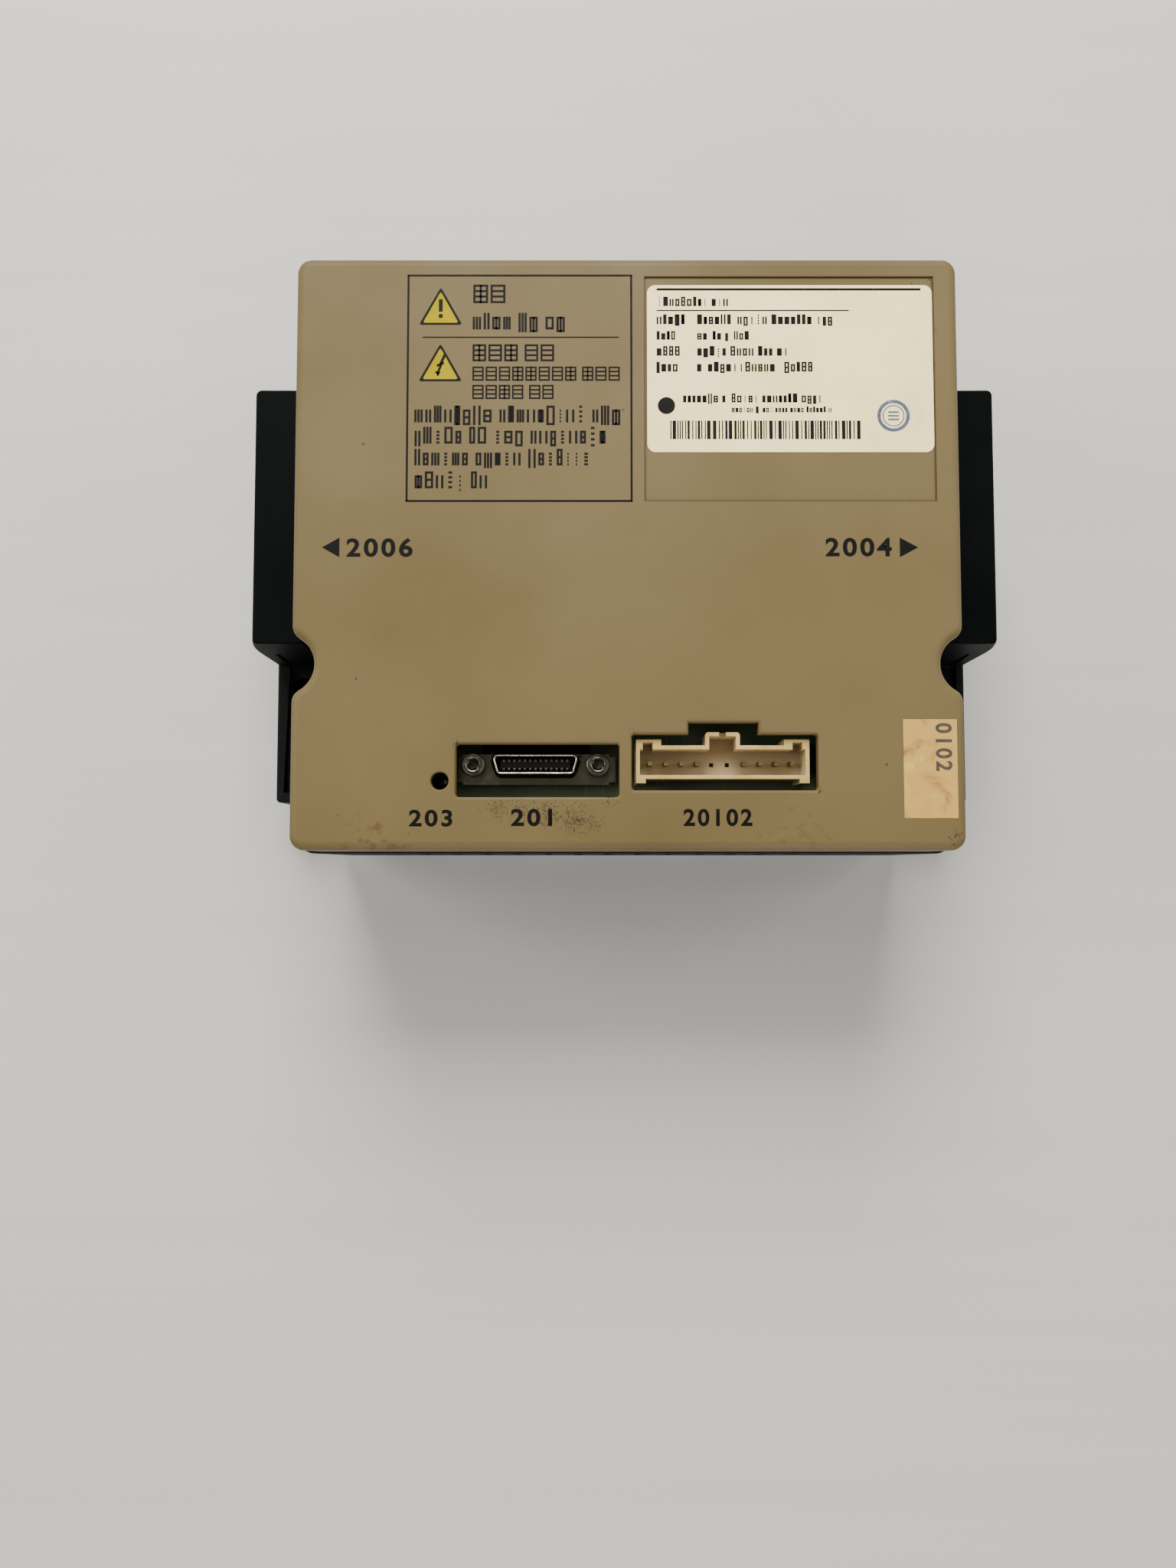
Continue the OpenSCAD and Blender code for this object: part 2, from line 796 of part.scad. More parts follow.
module control_board_screws() {
    color("#8d8f90") at_posts() translate([0, 0, control_top_z])
        pan_screw(screw_d, 5.5, screw_head_d, screw_head_h);
}

flange_under_z = control_top_z + 4.2;
plate_t = 0.8;
plate_h = 7.4;
plate_low = 1;
shell_t = 0.45;
shell_z1 = flange_under_z + 5.1;
shell_taper = 2.6;
shell_r = 1.3;
arc_steps = 6;
insulator_w = 26.2;
insulator_y0 = -4.2;
insulator_y1 = 5.2;
contact_y = 0.92;
contact_x = 0.5;
contact_t = 0.56;
contact_in = 0.98;
contact_play = 0.02;
contact_short = 1.5;
stud_d = 3.1;

// Points of an arc about a centre, from one angle to another
function arc(x, y, r, a0, a1) = [for (i = [0 : arc_steps])
    let (a = a0 + (a1 - a0) * i / arc_steps) [x + r * cos(a), y + r * sin(a)]];

// D-shaped outline, wide side up, moved inward by a distance
module d_outline(inset) {
    slope = atan(shell_taper / 2 / signal_shell_h);
    h = signal_shell_h / 2 - inset;
    w1 = signal_shell_w / 2 - inset * (tan(slope) + 1 / cos(slope));
    w0 = (signal_shell_w - shell_taper) / 2 - inset * (1 / cos(slope) - tan(slope));
    r1 = shell_r - inset;
    r0 = 0.8 * shell_r - inset;
    x1 = w1 - r1 * (1 + sin(slope)) / cos(slope);
    x0 = w0 - r0 * (1 - sin(slope)) / cos(slope);
    polygon([each arc(x1, h - r1, r1, -slope, 90), each arc(-x1, h - r1, r1, 90, 180 + slope),
        each arc(-x0, r0 - h, r0, 180 + slope, 270), each arc(x0, r0 - h, r0, -90, -slope)]);
}

module signal_insulator() {
    tongue_w = (signal_count - 1) * signal_pitch + 1.6;
    tongue_z1 = shell_z1 - 1.2;
    color("#1b1c1d") translate([signal_x, signal_y, 0]) difference() {
        union() {
            block(-insulator_w / 2, insulator_y0, control_top_z,
                [insulator_w, insulator_y1 - insulator_y0, flange_under_z - control_top_z]);
            translate([0, 0, flange_under_z - bond])
                linear_extrude(2 * plate_t) d_outline(shell_t + 0.1);
            block(-tongue_w / 2, -contact_y, flange_under_z,
                [tongue_w, 2 * contact_y, tongue_z1 - flange_under_z]);
        }
        for (k = [0 : signal_count - 1], side = [-1, 1])
            block((k - (signal_count - 1) / 2) * signal_pitch - contact_x / 2 - contact_play,
                side * contact_y - contact_t / 2 - contact_play, flange_under_z - over,
                [contact_x + 2 * contact_play, contact_t + 2 * contact_play, total_d]);
    }
}

module signal_contacts() {
    color(contact_gold) translate([signal_x, signal_y, 0])
        for (k = [0 : signal_count - 1], side = [-1, 1])
            block((k - (signal_count - 1) / 2) * signal_pitch - contact_x / 2,
                side * contact_y - contact_t / 2, flange_under_z - contact_in,
                [contact_x, contact_t, shell_z1 - contact_short - flange_under_z + contact_in]);
}

module signal_shell() {
    color("#a8a08a") translate([signal_x, signal_y, 0]) difference() {
        union() {
            translate([0, -plate_low, flange_under_z])
                linear_extrude(plate_t) square([plate_w, plate_h], center = true);
            translate([0, 0, flange_under_z])
                linear_extrude(shell_z1 - flange_under_z) d_outline(0);
        }
        translate([0, 0, flange_under_z - over]) linear_extrude(total_d) d_outline(shell_t);
        for (x = [-1, 1]) translate([x * jack_pitch / 2, 0, 0])
            cylinder(h = total_d, d = stud_d + fit);
        for (x = [-1, 1], y = [-1, 1])
            translate([x * plate_w / 2, y * plate_h / 2 - plate_low, flange_under_z])
                cube([3.2, 1.3, 4], center = true);
    }
}

module signal_jack_sockets() {
    base_z = flange_under_z + plate_t;
    top_z = shell_z1 - 0.4;
    stud_z = control_under_z - 1;
    post_d = 3.8;
    post_h = 1.2;
    slot_t = 0.9;
    color("#b2ac98") translate([signal_x, signal_y, 0]) for (side = [-1, 1])
        translate([side * jack_pitch / 2, 0, 0]) difference() {
            union() {
                translate([0, 0, base_z]) cylinder(h = top_z - post_h - base_z, d = jack_d);
                translate([0, 0, base_z]) cylinder(h = top_z - base_z, d = post_d);
                translate([0, 0, stud_z]) cylinder(h = base_z - stud_z + bond, d = stud_d);
            }
            translate([0, 0, top_z - 5.6]) cylinder(h = 5.6 + over, d = jack_bore);
            translate([0, 0, top_z - 0.6])
                cylinder(h = 0.6 + bond, d1 = jack_bore, d2 = jack_bore + 1);
            rotate(-25) translate([-jack_d, -slot_t / 2, top_z - 1])
                cube([2 * jack_d, slot_t, 2]);
        }
}

// Places its children at the pins of the header; two middle positions stay empty
module at_header_pins() {
    for (k = [0 : header_count - 1])
        if (k != 4 && k != 5)
            translate([header_x + (k - (header_count - 1) / 2) * header_pitch, header_y, 0])
                children();
}

module io_header() {
    floor_z = control_top_z + 2.2;
    inner_w = header_w - 2 * header_wall;
    inner_h = header_h - 2 * header_wall;
    end_w = 6.1;
    end_h = 1.45;
    end_wall = 0.7;
    groove_x = 1.7;
    groove_w = 2.3;
    arch_w = 8.3;
    arch_h = 3.15;
    arch_wall = 1;
    pocket_w = 1.6;
    foot_w = 2.4;
    foot_h = 1;
    well_w = 1;
    color("#c4b288") translate([header_x, header_y, 0]) difference() {
        union() {
            block(-header_w / 2, -header_h / 2, control_top_z, [header_w, header_h, header_tall]);
            // Latch arch on the long side
            translate([0, header_h / 2 - arch_h, control_top_z])
                linear_extrude(header_tall) translate([0, arch_h])
                rounded_rect(arch_w, 2 * arch_h, 0.8);
            // Keyed ends above, and feet at the lower corners
            for (side = [0, 1]) mirror([side, 0, 0]) {
                block(-header_w / 2, header_h / 2 - bond, control_top_z,
                    [end_w, end_h + bond, header_tall]);
                block(-header_w / 2, -header_h / 2 - foot_h, control_top_z,
                    [foot_w, foot_h + bond, header_tall]);
            }
        }
        block(-inner_w / 2, -inner_h / 2, floor_z, [inner_w, inner_h, header_tall]);
        for (side = [0, 1]) mirror([side, 0, 0])
            block(groove_x - header_w / 2, 0, floor_z,
                [groove_w, header_h / 2 + end_h - end_wall, header_tall]);
        block(-arch_w / 2 + arch_wall, 0, floor_z,
            [arch_w - 2 * arch_wall, header_h / 2 + arch_h - arch_wall, header_tall]);
        block(-pocket_w / 2, header_h / 2, control_top_z + header_tall - 2.5,
            [pocket_w, arch_h + over, 3]);
        for (k = [0 : header_count - 1])
            block((k - (header_count - 1) / 2) * header_pitch - well_w / 2, -well_w / 2,
                control_top_z - over, [well_w, well_w, header_tall]);
    }
}

module io_header_pins() {
    pin_short = 3.5;
    pin_out = 1.4;
    color(contact_tin) at_header_pins() block(-0.5, -0.5, control_under_z - pin_out,
        [1, 1, pin_out + pcb_t + header_tall - pin_short]);
}

module status_led() {
    led_r = 1.5;
    led_tall = 8;
    color("#4f6b4a") translate([lamp_x, lamp_y, control_top_z]) {
        cylinder(h = 1, r = led_r + 0.4);
        cylinder(h = led_tall - led_r, r = led_r);
        translate([0, 0, led_tall - led_r]) sphere(led_r);
    }
}

// Leaded chip: body of the given size, with leads along two sides, or along four
module chip(w, h, tall, leads, pitch, four_sides) {
    foot = 1.1;
    block(-w / 2, -h / 2, 0.25, [w, h, tall]);
    for (turn = four_sides ? [0, 90] : [0], k = [0 : leads - 1], side = [0, 1])
        rotate(turn) mirror([0, side, 0])
            block((k - (leads - 1) / 2) * pitch - 0.2, h / 2 - 0.1, 0, [0.4, foot + 0.1, 0.6]);
}

module processor() {
    color("#1d1f21") translate([-16, 26, control_top_z]) chip(28, 28, 2.4, 20, 1.3, true);
}

module gate_array() {
    color("#1d1f21") translate([30, 22, control_top_z]) chip(24, 24, 2.2, 16, 1.35, true);
}

module memory_chips() {
    color("#202224") for (x = [-54, -41]) translate([x, 24, control_top_z])
        chip(8, 16, 2, 5, 1.27, false);
}

module line_drivers() {
    color("#202224") for (k = [0 : 3]) translate([-44 + k * 14, -20, control_top_z])
        chip(10, 7, 1.7, 7, 1.27, false);
}

module crystal() {
    color("#c4c7c9") translate([6, 4, control_top_z]) linear_extrude(3.6) rounded_rect(11, 4.6, 2.25);
}

module filter_capacitors() {
    color("#b9bcc0") for (k = [0 : 4]) translate([-8 + k * 12, -34, control_top_z]) {
        block(-3.3, -3.3, 0, [6.6, 6.6, 0.8]);
        cylinder(h = 5.6, r = 3.1);
    }
}

front_cover();
rating_label();
paper_sticker();
housing();
left_hood();
right_hood();
base_plate();
thermal_sheet();
module_base();
power_module();
module_pins();
module_screws();
housing_screws();
lower_standoffs();
power_board();
upper_standoffs();
bus_capacitors();
film_capacitor();
current_sensors();
brake_relay();
brake_resistors();
transformer_core();
transformer_coil();
optocouplers();
left_power_connector();
right_power_connector();
left_power_contacts();
right_power_contacts();
link_header();
link_pins();
link_socket();
control_board();
control_board_screws();
signal_insulator();
signal_contacts();
signal_shell();
signal_jack_sockets();
io_header();
io_header_pins();
status_led();
processor();
gate_array();
memory_chips();
line_drivers();
crystal();
filter_capacitors();
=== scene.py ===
import math
import random

import bmesh
import bpy
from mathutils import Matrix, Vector


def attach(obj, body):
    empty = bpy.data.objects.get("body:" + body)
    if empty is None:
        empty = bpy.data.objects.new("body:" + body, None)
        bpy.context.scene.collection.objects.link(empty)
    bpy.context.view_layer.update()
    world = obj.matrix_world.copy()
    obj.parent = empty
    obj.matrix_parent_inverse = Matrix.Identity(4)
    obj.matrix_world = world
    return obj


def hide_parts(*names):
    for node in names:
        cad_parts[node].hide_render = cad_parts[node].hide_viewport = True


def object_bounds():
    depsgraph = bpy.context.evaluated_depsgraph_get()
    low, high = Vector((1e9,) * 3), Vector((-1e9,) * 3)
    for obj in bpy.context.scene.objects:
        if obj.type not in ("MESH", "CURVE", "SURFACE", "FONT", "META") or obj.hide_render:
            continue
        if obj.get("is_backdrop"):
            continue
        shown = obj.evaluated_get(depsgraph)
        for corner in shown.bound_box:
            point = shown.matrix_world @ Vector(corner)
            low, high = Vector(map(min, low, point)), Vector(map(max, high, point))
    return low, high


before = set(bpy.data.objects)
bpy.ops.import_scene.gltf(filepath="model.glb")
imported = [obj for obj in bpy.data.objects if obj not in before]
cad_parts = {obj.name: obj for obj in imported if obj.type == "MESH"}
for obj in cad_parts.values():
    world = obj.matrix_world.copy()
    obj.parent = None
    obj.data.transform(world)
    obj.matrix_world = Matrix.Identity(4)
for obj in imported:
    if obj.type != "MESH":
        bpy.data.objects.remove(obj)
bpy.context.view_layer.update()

MM = 0.001

# ---- Camera, table and light ----
# The drive lies on its back on a pale table and is seen from straight above, from a little
# below its lower edge. Light comes from wide soft boxes overhead.


def linear(hex_colour):
    """An sRGB hex colour as the linear RGBA a shader takes."""
    channels = [int(hex_colour[i : i + 2], 16) / 255 for i in (1, 3, 5)]
    return [
        c / 12.92 if c <= 0.04045 else ((c + 0.055) / 1.055) ** 2.4 for c in channels
    ] + [1.0]


def add_node(finish, kind, inputs=None, **settings):
    """Adds one node to a material, with its settings, and with values or links on its inputs."""
    node = finish.node_tree.nodes.new(kind)
    for name, value in settings.items():
        setattr(node, name, value)
    for name, value in (inputs or {}).items():
        if isinstance(value, bpy.types.NodeSocket):
            finish.node_tree.links.new(value, node.inputs[name])
        else:
            node.inputs[name].default_value = value
    return node


def new_finish(name):
    """An empty material and its Principled shader."""
    finish = bpy.data.materials.new(name)
    finish.use_nodes = True
    return finish, finish.node_tree.nodes["Principled BSDF"]


camera_data = bpy.data.cameras.new("camera")
camera_data.sensor_width = 36
camera_data.lens = 29.13
camera = bpy.data.objects.new("camera", camera_data)
bpy.context.scene.collection.objects.link(camera)
camera.location = (-9.37 * MM, -75.6 * MM, 378.4 * MM)
camera.rotation_euler = (math.radians(3.73), 0, 0)
bpy.context.scene.camera = camera

world = bpy.data.worlds.new("studio")
bpy.context.scene.world = world
world.use_nodes = True
world.node_tree.nodes["Background"].inputs["Color"].default_value = linear("#E9EDF2")
world.node_tree.nodes["Background"].inputs["Strength"].default_value = 0.32

for name, place, target, size, watts in (
    ("upper_box", (-0.1, 1.05, 1.1), (0, 0.15, 0), 0.8, 47.0),
    ("left_box", (-1.3, 0.25, 0.85), (0, 0, 0), 0.8, 15.0),
    ("right_box", (1.35, 0.35, 0.9), (0, 0, 0), 0.8, 10.0),
    ("lower_box", (0.1, -1.6, 0.6), (0, 0, 0), 0.9, 22.0),
):
    light_data = bpy.data.lights.new(name, "AREA")
    light_data.shape = "SQUARE"
    light_data.size = size
    light_data.energy = watts
    light_data.color = linear("#FFFBF4")[:3]
    light = bpy.data.objects.new(name, light_data)
    bpy.context.scene.collection.objects.link(light)
    light.location = place
    aim = Vector(target) - Vector(place)
    light.rotation_euler = aim.to_track_quat("-Z", "Y").to_euler()

bpy.ops.object.select_all(action="DESELECT")
bpy.ops.mesh.primitive_plane_add(size=6, location=(0, 0, -0.0002))
table = bpy.context.object
table.name = "table"
bpy.ops.object.transform_apply(location=True, rotation=True, scale=True)
# Painted board: matt, nearly white, with faint wide bands from the roller (about 12 mm)
paint, shader = new_finish("rolled_white_paint")
place = add_node(paint, "ShaderNodeTexCoord").outputs["Object"]
rolled = add_node(paint, "ShaderNodeMapping", {"Vector": place, "Scale": (0.6, 80, 1)})
bands = add_node(
    paint, "ShaderNodeTexNoise", {"Vector": rolled.outputs[0], "Scale": 1.0, "Detail": 3.0})
tone = add_node(
    paint, "ShaderNodeMix",
    {0: bands.outputs["Fac"], 6: linear("#B5B4B0"), 7: linear("#BFBDBA")}, data_type="RGBA")
paint.node_tree.links.new(tone.outputs[2], shader.inputs["Base Color"])
shader.inputs["Roughness"].default_value = 0.55
table.data.materials.append(paint)
table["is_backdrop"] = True

# ---- Base plate ----
# Extruded aluminium plate that carries the heat away, milled flat on the face that meets
# the cabinet. Left bare, so it shows fine saw and mill lines and dull patches of oxide.


def bare_metal(name, colour, dulled, rough, lines_mm, stretch, patch_mm=9.0, depth_mm=0.01):
    """Worked metal: lines of the tool that cut or drew it, and patches dulled by the air."""
    finish, shader = new_finish(name)
    place = add_node(finish, "ShaderNodeTexCoord").outputs["Object"]
    along = add_node(finish, "ShaderNodeMapping", {"Vector": place, "Scale": stretch})
    lines = add_node(
        finish, "ShaderNodeTexNoise",
        {"Vector": along.outputs[0], "Scale": 1000 / lines_mm, "Detail": 4.0, "Roughness": 0.6})
    patches = add_node(
        finish, "ShaderNodeTexNoise", {"Vector": place, "Scale": 1000 / patch_mm, "Detail": 5.0})
    cloud = add_node(
        finish, "ShaderNodeMapRange",
        {"Value": patches.outputs["Fac"], "From Min": 0.4, "From Max": 0.68})
    tone = add_node(
        finish, "ShaderNodeMix",
        {0: cloud.outputs[0], 6: linear(colour), 7: linear(dulled)}, data_type="RGBA")
    streak = add_node(
        finish, "ShaderNodeMath",
        {0: lines.outputs["Fac"], 1: cloud.outputs[0]}, operation="ADD")
    gloss = add_node(
        finish, "ShaderNodeMapRange",
        {"Value": streak.outputs[0], "From Min": 0.3, "From Max": 1.5,
         "To Min": rough * 0.8, "To Max": min(rough * 1.6, 0.9)})
    bump = add_node(
        finish, "ShaderNodeBump",
        {"Height": lines.outputs["Fac"], "Distance": depth_mm * MM, "Strength": 0.8})
    links = finish.node_tree.links
    links.new(tone.outputs[2], shader.inputs["Base Color"])
    links.new(gloss.outputs[0], shader.inputs["Roughness"])
    links.new(bump.outputs[0], shader.inputs["Normal"])
    shader.inputs["Metallic"].default_value = 1.0
    return finish


def coat(node, finish):
    """Gives a CAD piece its finish."""
    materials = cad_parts[node].data.materials
    materials.clear()
    materials.append(finish)


milled_aluminium = bare_metal(
    "milled_aluminium", "#C3C5C8", "#9B9DA0", 0.36, 0.5, (0.03, 1, 1), patch_mm=24)
coat("base_plate", milled_aluminium)

# ---- Power module and its thermal sheet ----
# Epoxy-filled switching module screwed to the base plate through a grey graphite sheet. Its
# nickelled copper foot spreads the heat; its tinned pins are soldered into the power board.


def moulded_plastic(name, colour, faded, gloss, grain_mm=0.45, depth_mm=0.012, dust=0.25,
                    drift_mm=26.0, dust_colour="#8E877A", shine=0.5):
    """Moulded plastic: the mould's eroded grain, a slow drift of shade and caught dust."""
    finish, shader = new_finish(name)
    place = add_node(finish, "ShaderNodeTexCoord").outputs["Object"]
    drift = add_node(
        finish, "ShaderNodeTexNoise",
        {"Vector": place, "Scale": 1000 / drift_mm, "Detail": 4.0, "Roughness": 0.55})
    faded_by = add_node(
        finish, "ShaderNodeMapRange",
        {"Value": drift.outputs["Fac"], "From Min": 0.32, "From Max": 0.68})
    tone = add_node(
        finish, "ShaderNodeMix",
        {0: faded_by.outputs[0], 6: linear(colour), 7: linear(faded)}, data_type="RGBA")
    lint = add_node(
        finish, "ShaderNodeTexNoise",
        {"Vector": place, "Scale": 1000 / 1.6, "Detail": 6.0, "Roughness": 0.75})
    caught = add_node(
        finish, "ShaderNodeMapRange",
        {"Value": lint.outputs["Fac"], "From Min": 0.58, "From Max": 0.8, "To Max": dust})
    dusty = add_node(
        finish, "ShaderNodeMix",
        {0: caught.outputs[0], 6: tone.outputs[2], 7: linear(dust_colour)}, data_type="RGBA")
    grain = add_node(
        finish, "ShaderNodeTexNoise",
        {"Vector": place, "Scale": 1000 / grain_mm, "Detail": 2.0})
    bump = add_node(
        finish, "ShaderNodeBump",
        {"Height": grain.outputs["Fac"], "Distance": depth_mm * MM, "Strength": 0.8})
    sheen = add_node(
        finish, "ShaderNodeMapRange",
        {"Value": faded_by.outputs[0], "To Min": gloss, "To Max": min(gloss + 0.12, 1)})
    links = finish.node_tree.links
    links.new(dusty.outputs[2], shader.inputs["Base Color"])
    links.new(sheen.outputs[0], shader.inputs["Roughness"])
    links.new(bump.outputs[0], shader.inputs["Normal"])
    shader.inputs["Specular IOR Level"].default_value = shine
    return finish


graphite_sheet = moulded_plastic("pressed_graphite_sheet", "#70757A", "#5C6064", 0.5, 0.8)
nickelled_copper = bare_metal(
    "nickelled_copper", "#B9AE9B", "#96887A", 0.3, 0.4, (1, 0.05, 1))
epoxy = moulded_plastic("filled_epoxy", "#1F2123", "#2A2C2E", 0.62, 0.3, 0.02, dust=0.12)
tinned_copper = bare_metal("tinned_copper", "#C9C6BC", "#A29E92", 0.3, 0.3, (1, 1, 0.2), 1.2)
zinc_steel = bare_metal("zinc_plated_steel", "#B4B6B4", "#8A8B86", 0.32, 0.25, (1, 1, 1), 1.4)
coat("thermal_sheet", graphite_sheet)
coat("module_base", nickelled_copper)
coat("power_module", epoxy)
coat("module_pins", tinned_copper)
coat("module_screws", zinc_steel)
coat("housing_screws", zinc_steel)

# ---- Housing ----
# One black moulding of glass-filled nylon: a walled box on a foot with side flanges, open at
# front and back. Its outer edges are rounded, as they left the mould, and dust dulls it.


def copy_of(node, name):
    """A copy of a CAD piece's mesh, with doubles merged and flat faces joined, at the origin."""
    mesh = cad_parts[node].data.copy()
    mesh.materials.clear()
    piece = bpy.data.objects.new(name, mesh)
    bpy.context.scene.collection.objects.link(piece)
    bpy.ops.object.select_all(action="DESELECT")
    piece.select_set(True)
    bpy.context.view_layer.objects.active = piece
    bpy.ops.mesh.customdata_custom_splitnormals_clear()
    bpy.ops.object.mode_set(mode="EDIT")
    bpy.ops.mesh.select_all(action="SELECT")
    bpy.ops.mesh.remove_doubles(threshold=0.002 * MM)
    bpy.ops.mesh.dissolve_limited(angle_limit=math.radians(0.4))
    bpy.ops.object.mode_set(mode="OBJECT")
    return piece


def round_edges(piece, radius_mm, chosen, segments=3, sharper_than=25):
    """Rounds the sharp edges for which chosen(start, end) is true, both given in millimetres."""
    bpy.ops.object.select_all(action="DESELECT")
    piece.select_set(True)
    bpy.context.view_layer.objects.active = piece
    bpy.ops.object.mode_set(mode="EDIT")
    bpy.ops.mesh.select_mode(type="EDGE")
    bpy.ops.mesh.select_all(action="DESELECT")
    mesh = bmesh.from_edit_mesh(piece.data)
    for edge in mesh.edges:
        if len(edge.link_faces) == 2 and edge.calc_face_angle() > math.radians(sharper_than):
            if chosen(edge.verts[0].co / MM, edge.verts[1].co / MM):
                edge.select_set(True)
    bmesh.update_edit_mesh(piece.data)
    bpy.ops.mesh.bevel(offset=radius_mm * MM, segments=segments, affect="EDGES")
    bpy.ops.object.mode_set(mode="OBJECT")


def shade(piece, angle=32):
    """Smooth shading across the roundings, with the flat faces kept flat."""
    bpy.ops.object.select_all(action="DESELECT")
    piece.select_set(True)
    bpy.context.view_layer.objects.active = piece
    bpy.ops.object.shade_smooth_by_angle(angle=math.radians(angle))
    weigh = piece.modifiers.new("weigh", "WEIGHTED_NORMAL")
    weigh.keep_sharp = True
    bpy.ops.object.modifier_apply(modifier="weigh")


def settle(piece, finish, body, slot, *nodes):
    """Coats a finished piece, sets its body, and lets it stand for its CAD nodes; its slot is not
    used.
    """
    piece.data.materials.clear()
    piece.data.materials.append(finish)
    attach(piece, body)
    if nodes:
        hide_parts(*nodes)


black_nylon = moulded_plastic(
    "moulded_black_nylon", "#030506", "#06090A", 0.46, 0.5, 0.012, dust=0.01, drift_mm=40,
    shine=0.035)
dusty_nylon = moulded_plastic(
    "dusty_black_nylon", "#0B0D0F", "#131516", 0.5, 0.5, 0.012, dust=0.1, drift_mm=40,
    shine=0.08)
shelf_z = 58
housing = copy_of("housing", "housing_moulding")
round_edges(
    housing, 0.7,
    lambda a, b: min(abs(a.x), abs(b.x)) > 94.5 and min(a.z, b.z) > 8.1, 3)
round_edges(
    housing, 0.45,
    lambda a, b: abs(a.z - shelf_z) < 0.05 and abs(b.z - shelf_z) < 0.05
    and (min(abs(a.x), abs(b.x)) > 82.2 or min(abs(a.y), abs(b.y)) > 72.2), 3)
shade(housing)
settle(housing, dusty_nylon, "chassis", "black_housing", "housing")

# ---- Side hoods over the power connectors ----
# Two black nylon hoods snapped onto the housing's sides. Their outer face curves in towards
# the front, and their corners are rounded.

for side in ("left", "right"):
    hood = copy_of(side + "_hood", side + "_hood_moulding")
    round_edges(
        hood, 1.3,
        lambda a, b: abs(a.y - b.y) < 0.01 and (a.y < -18.6 or a.y > 47.6)
        and min(abs(a.x), abs(b.x)) > 92.9 and min(a.z, b.z) > 19.9, 4, 15)
    round_edges(
        hood, 0.5,
        lambda a, b: min(a.z, b.z) > 56.9 or (
            abs(a.y - b.y) < 0.01 and (a.y < -18.6 or a.y > 47.6) and min(a.z, b.z) > 56.0), 3)
    shade(hood)
    settle(hood, black_nylon, "chassis", "black_housing", side + "_hood")

# ---- Standoffs ----
# Hexagonal brass standoffs that carry the two boards, turned from bar and left bare.

turned_brass = bare_metal("turned_brass", "#C9A961", "#A4874B", 0.28, 0.2, (0.15, 0.15, 1), 3.0)
coat("lower_standoffs", turned_brass)
coat("upper_standoffs", turned_brass)

# ---- Power board ----
# Green glass-epoxy board with wide copper under its solder mask, drilled for the module's
# pins, the standoffs and the tails of the power contacts.


def printed_board(name, mask, copper, track_mm, seed):
    """Circuit board: solder mask over copper tracks that show as a paler, raised green."""
    finish, shader = new_finish(name)
    place = add_node(finish, "ShaderNodeTexCoord").outputs["Object"]
    laid = add_node(
        finish, "ShaderNodeMapping", {"Vector": place, "Location": (seed * 0.01, seed * 0.02, 0)})
    tracks = []
    for scale in ((1, 0.12, 0), (0.12, 1, 0)):
        run = add_node(finish, "ShaderNodeMapping", {"Vector": laid.outputs[0], "Scale": scale})
        cells = add_node(
            finish, "ShaderNodeTexVoronoi",
            {"Vector": run.outputs[0], "Scale": 1000 / track_mm, "Randomness": 0.85},
            feature="F1", distance="CHEBYCHEV")
        tracks.append(add_node(
            finish, "ShaderNodeMath", {0: cells.outputs["Distance"], 1: 0.27},
            operation="LESS_THAN").outputs[0])
    where = add_node(
        finish, "ShaderNodeTexNoise",
        {"Vector": laid.outputs[0], "Scale": 1000 / 22, "Detail": 1.0})
    turn = add_node(
        finish, "ShaderNodeMath", {0: where.outputs["Fac"], 1: 0.5}, operation="GREATER_THAN")
    either = add_node(
        finish, "ShaderNodeMix", {0: turn.outputs[0], 2: tracks[0], 3: tracks[1]})
    tone = add_node(
        finish, "ShaderNodeMix",
        {0: either.outputs[0], 6: linear(mask), 7: linear(copper)}, data_type="RGBA")
    dirt = add_node(
        finish, "ShaderNodeTexNoise", {"Vector": place, "Scale": 1000 / 14, "Detail": 5.0})
    film = add_node(
        finish, "ShaderNodeMapRange",
        {"Value": dirt.outputs["Fac"], "From Min": 0.45, "From Max": 0.8, "To Max": 0.4})
    dulled = add_node(
        finish, "ShaderNodeMix",
        {0: film.outputs[0], 6: tone.outputs[2], 7: linear("#4C4A3C")}, data_type="RGBA")
    gloss = add_node(
        finish, "ShaderNodeMapRange", {"Value": film.outputs[0], "To Min": 0.3, "To Max": 0.6})
    bump = add_node(
        finish, "ShaderNodeBump",
        {"Height": either.outputs[0], "Distance": 0.03 * MM, "Strength": 0.7})
    links = finish.node_tree.links
    links.new(dulled.outputs[2], shader.inputs["Base Color"])
    links.new(gloss.outputs[0], shader.inputs["Roughness"])
    links.new(bump.outputs[0], shader.inputs["Normal"])
    return finish


coat("power_board", printed_board("power_board_mask", "#1F4A2C", "#2F6038", 3.2, 1))

# ---- Parts of the power board ----
# Sleeved aluminium capacitors, a dipped film capacitor, current sensors, the brake relay and
# its cement resistors, the gate supply's ferrite transformer, and six optocouplers.

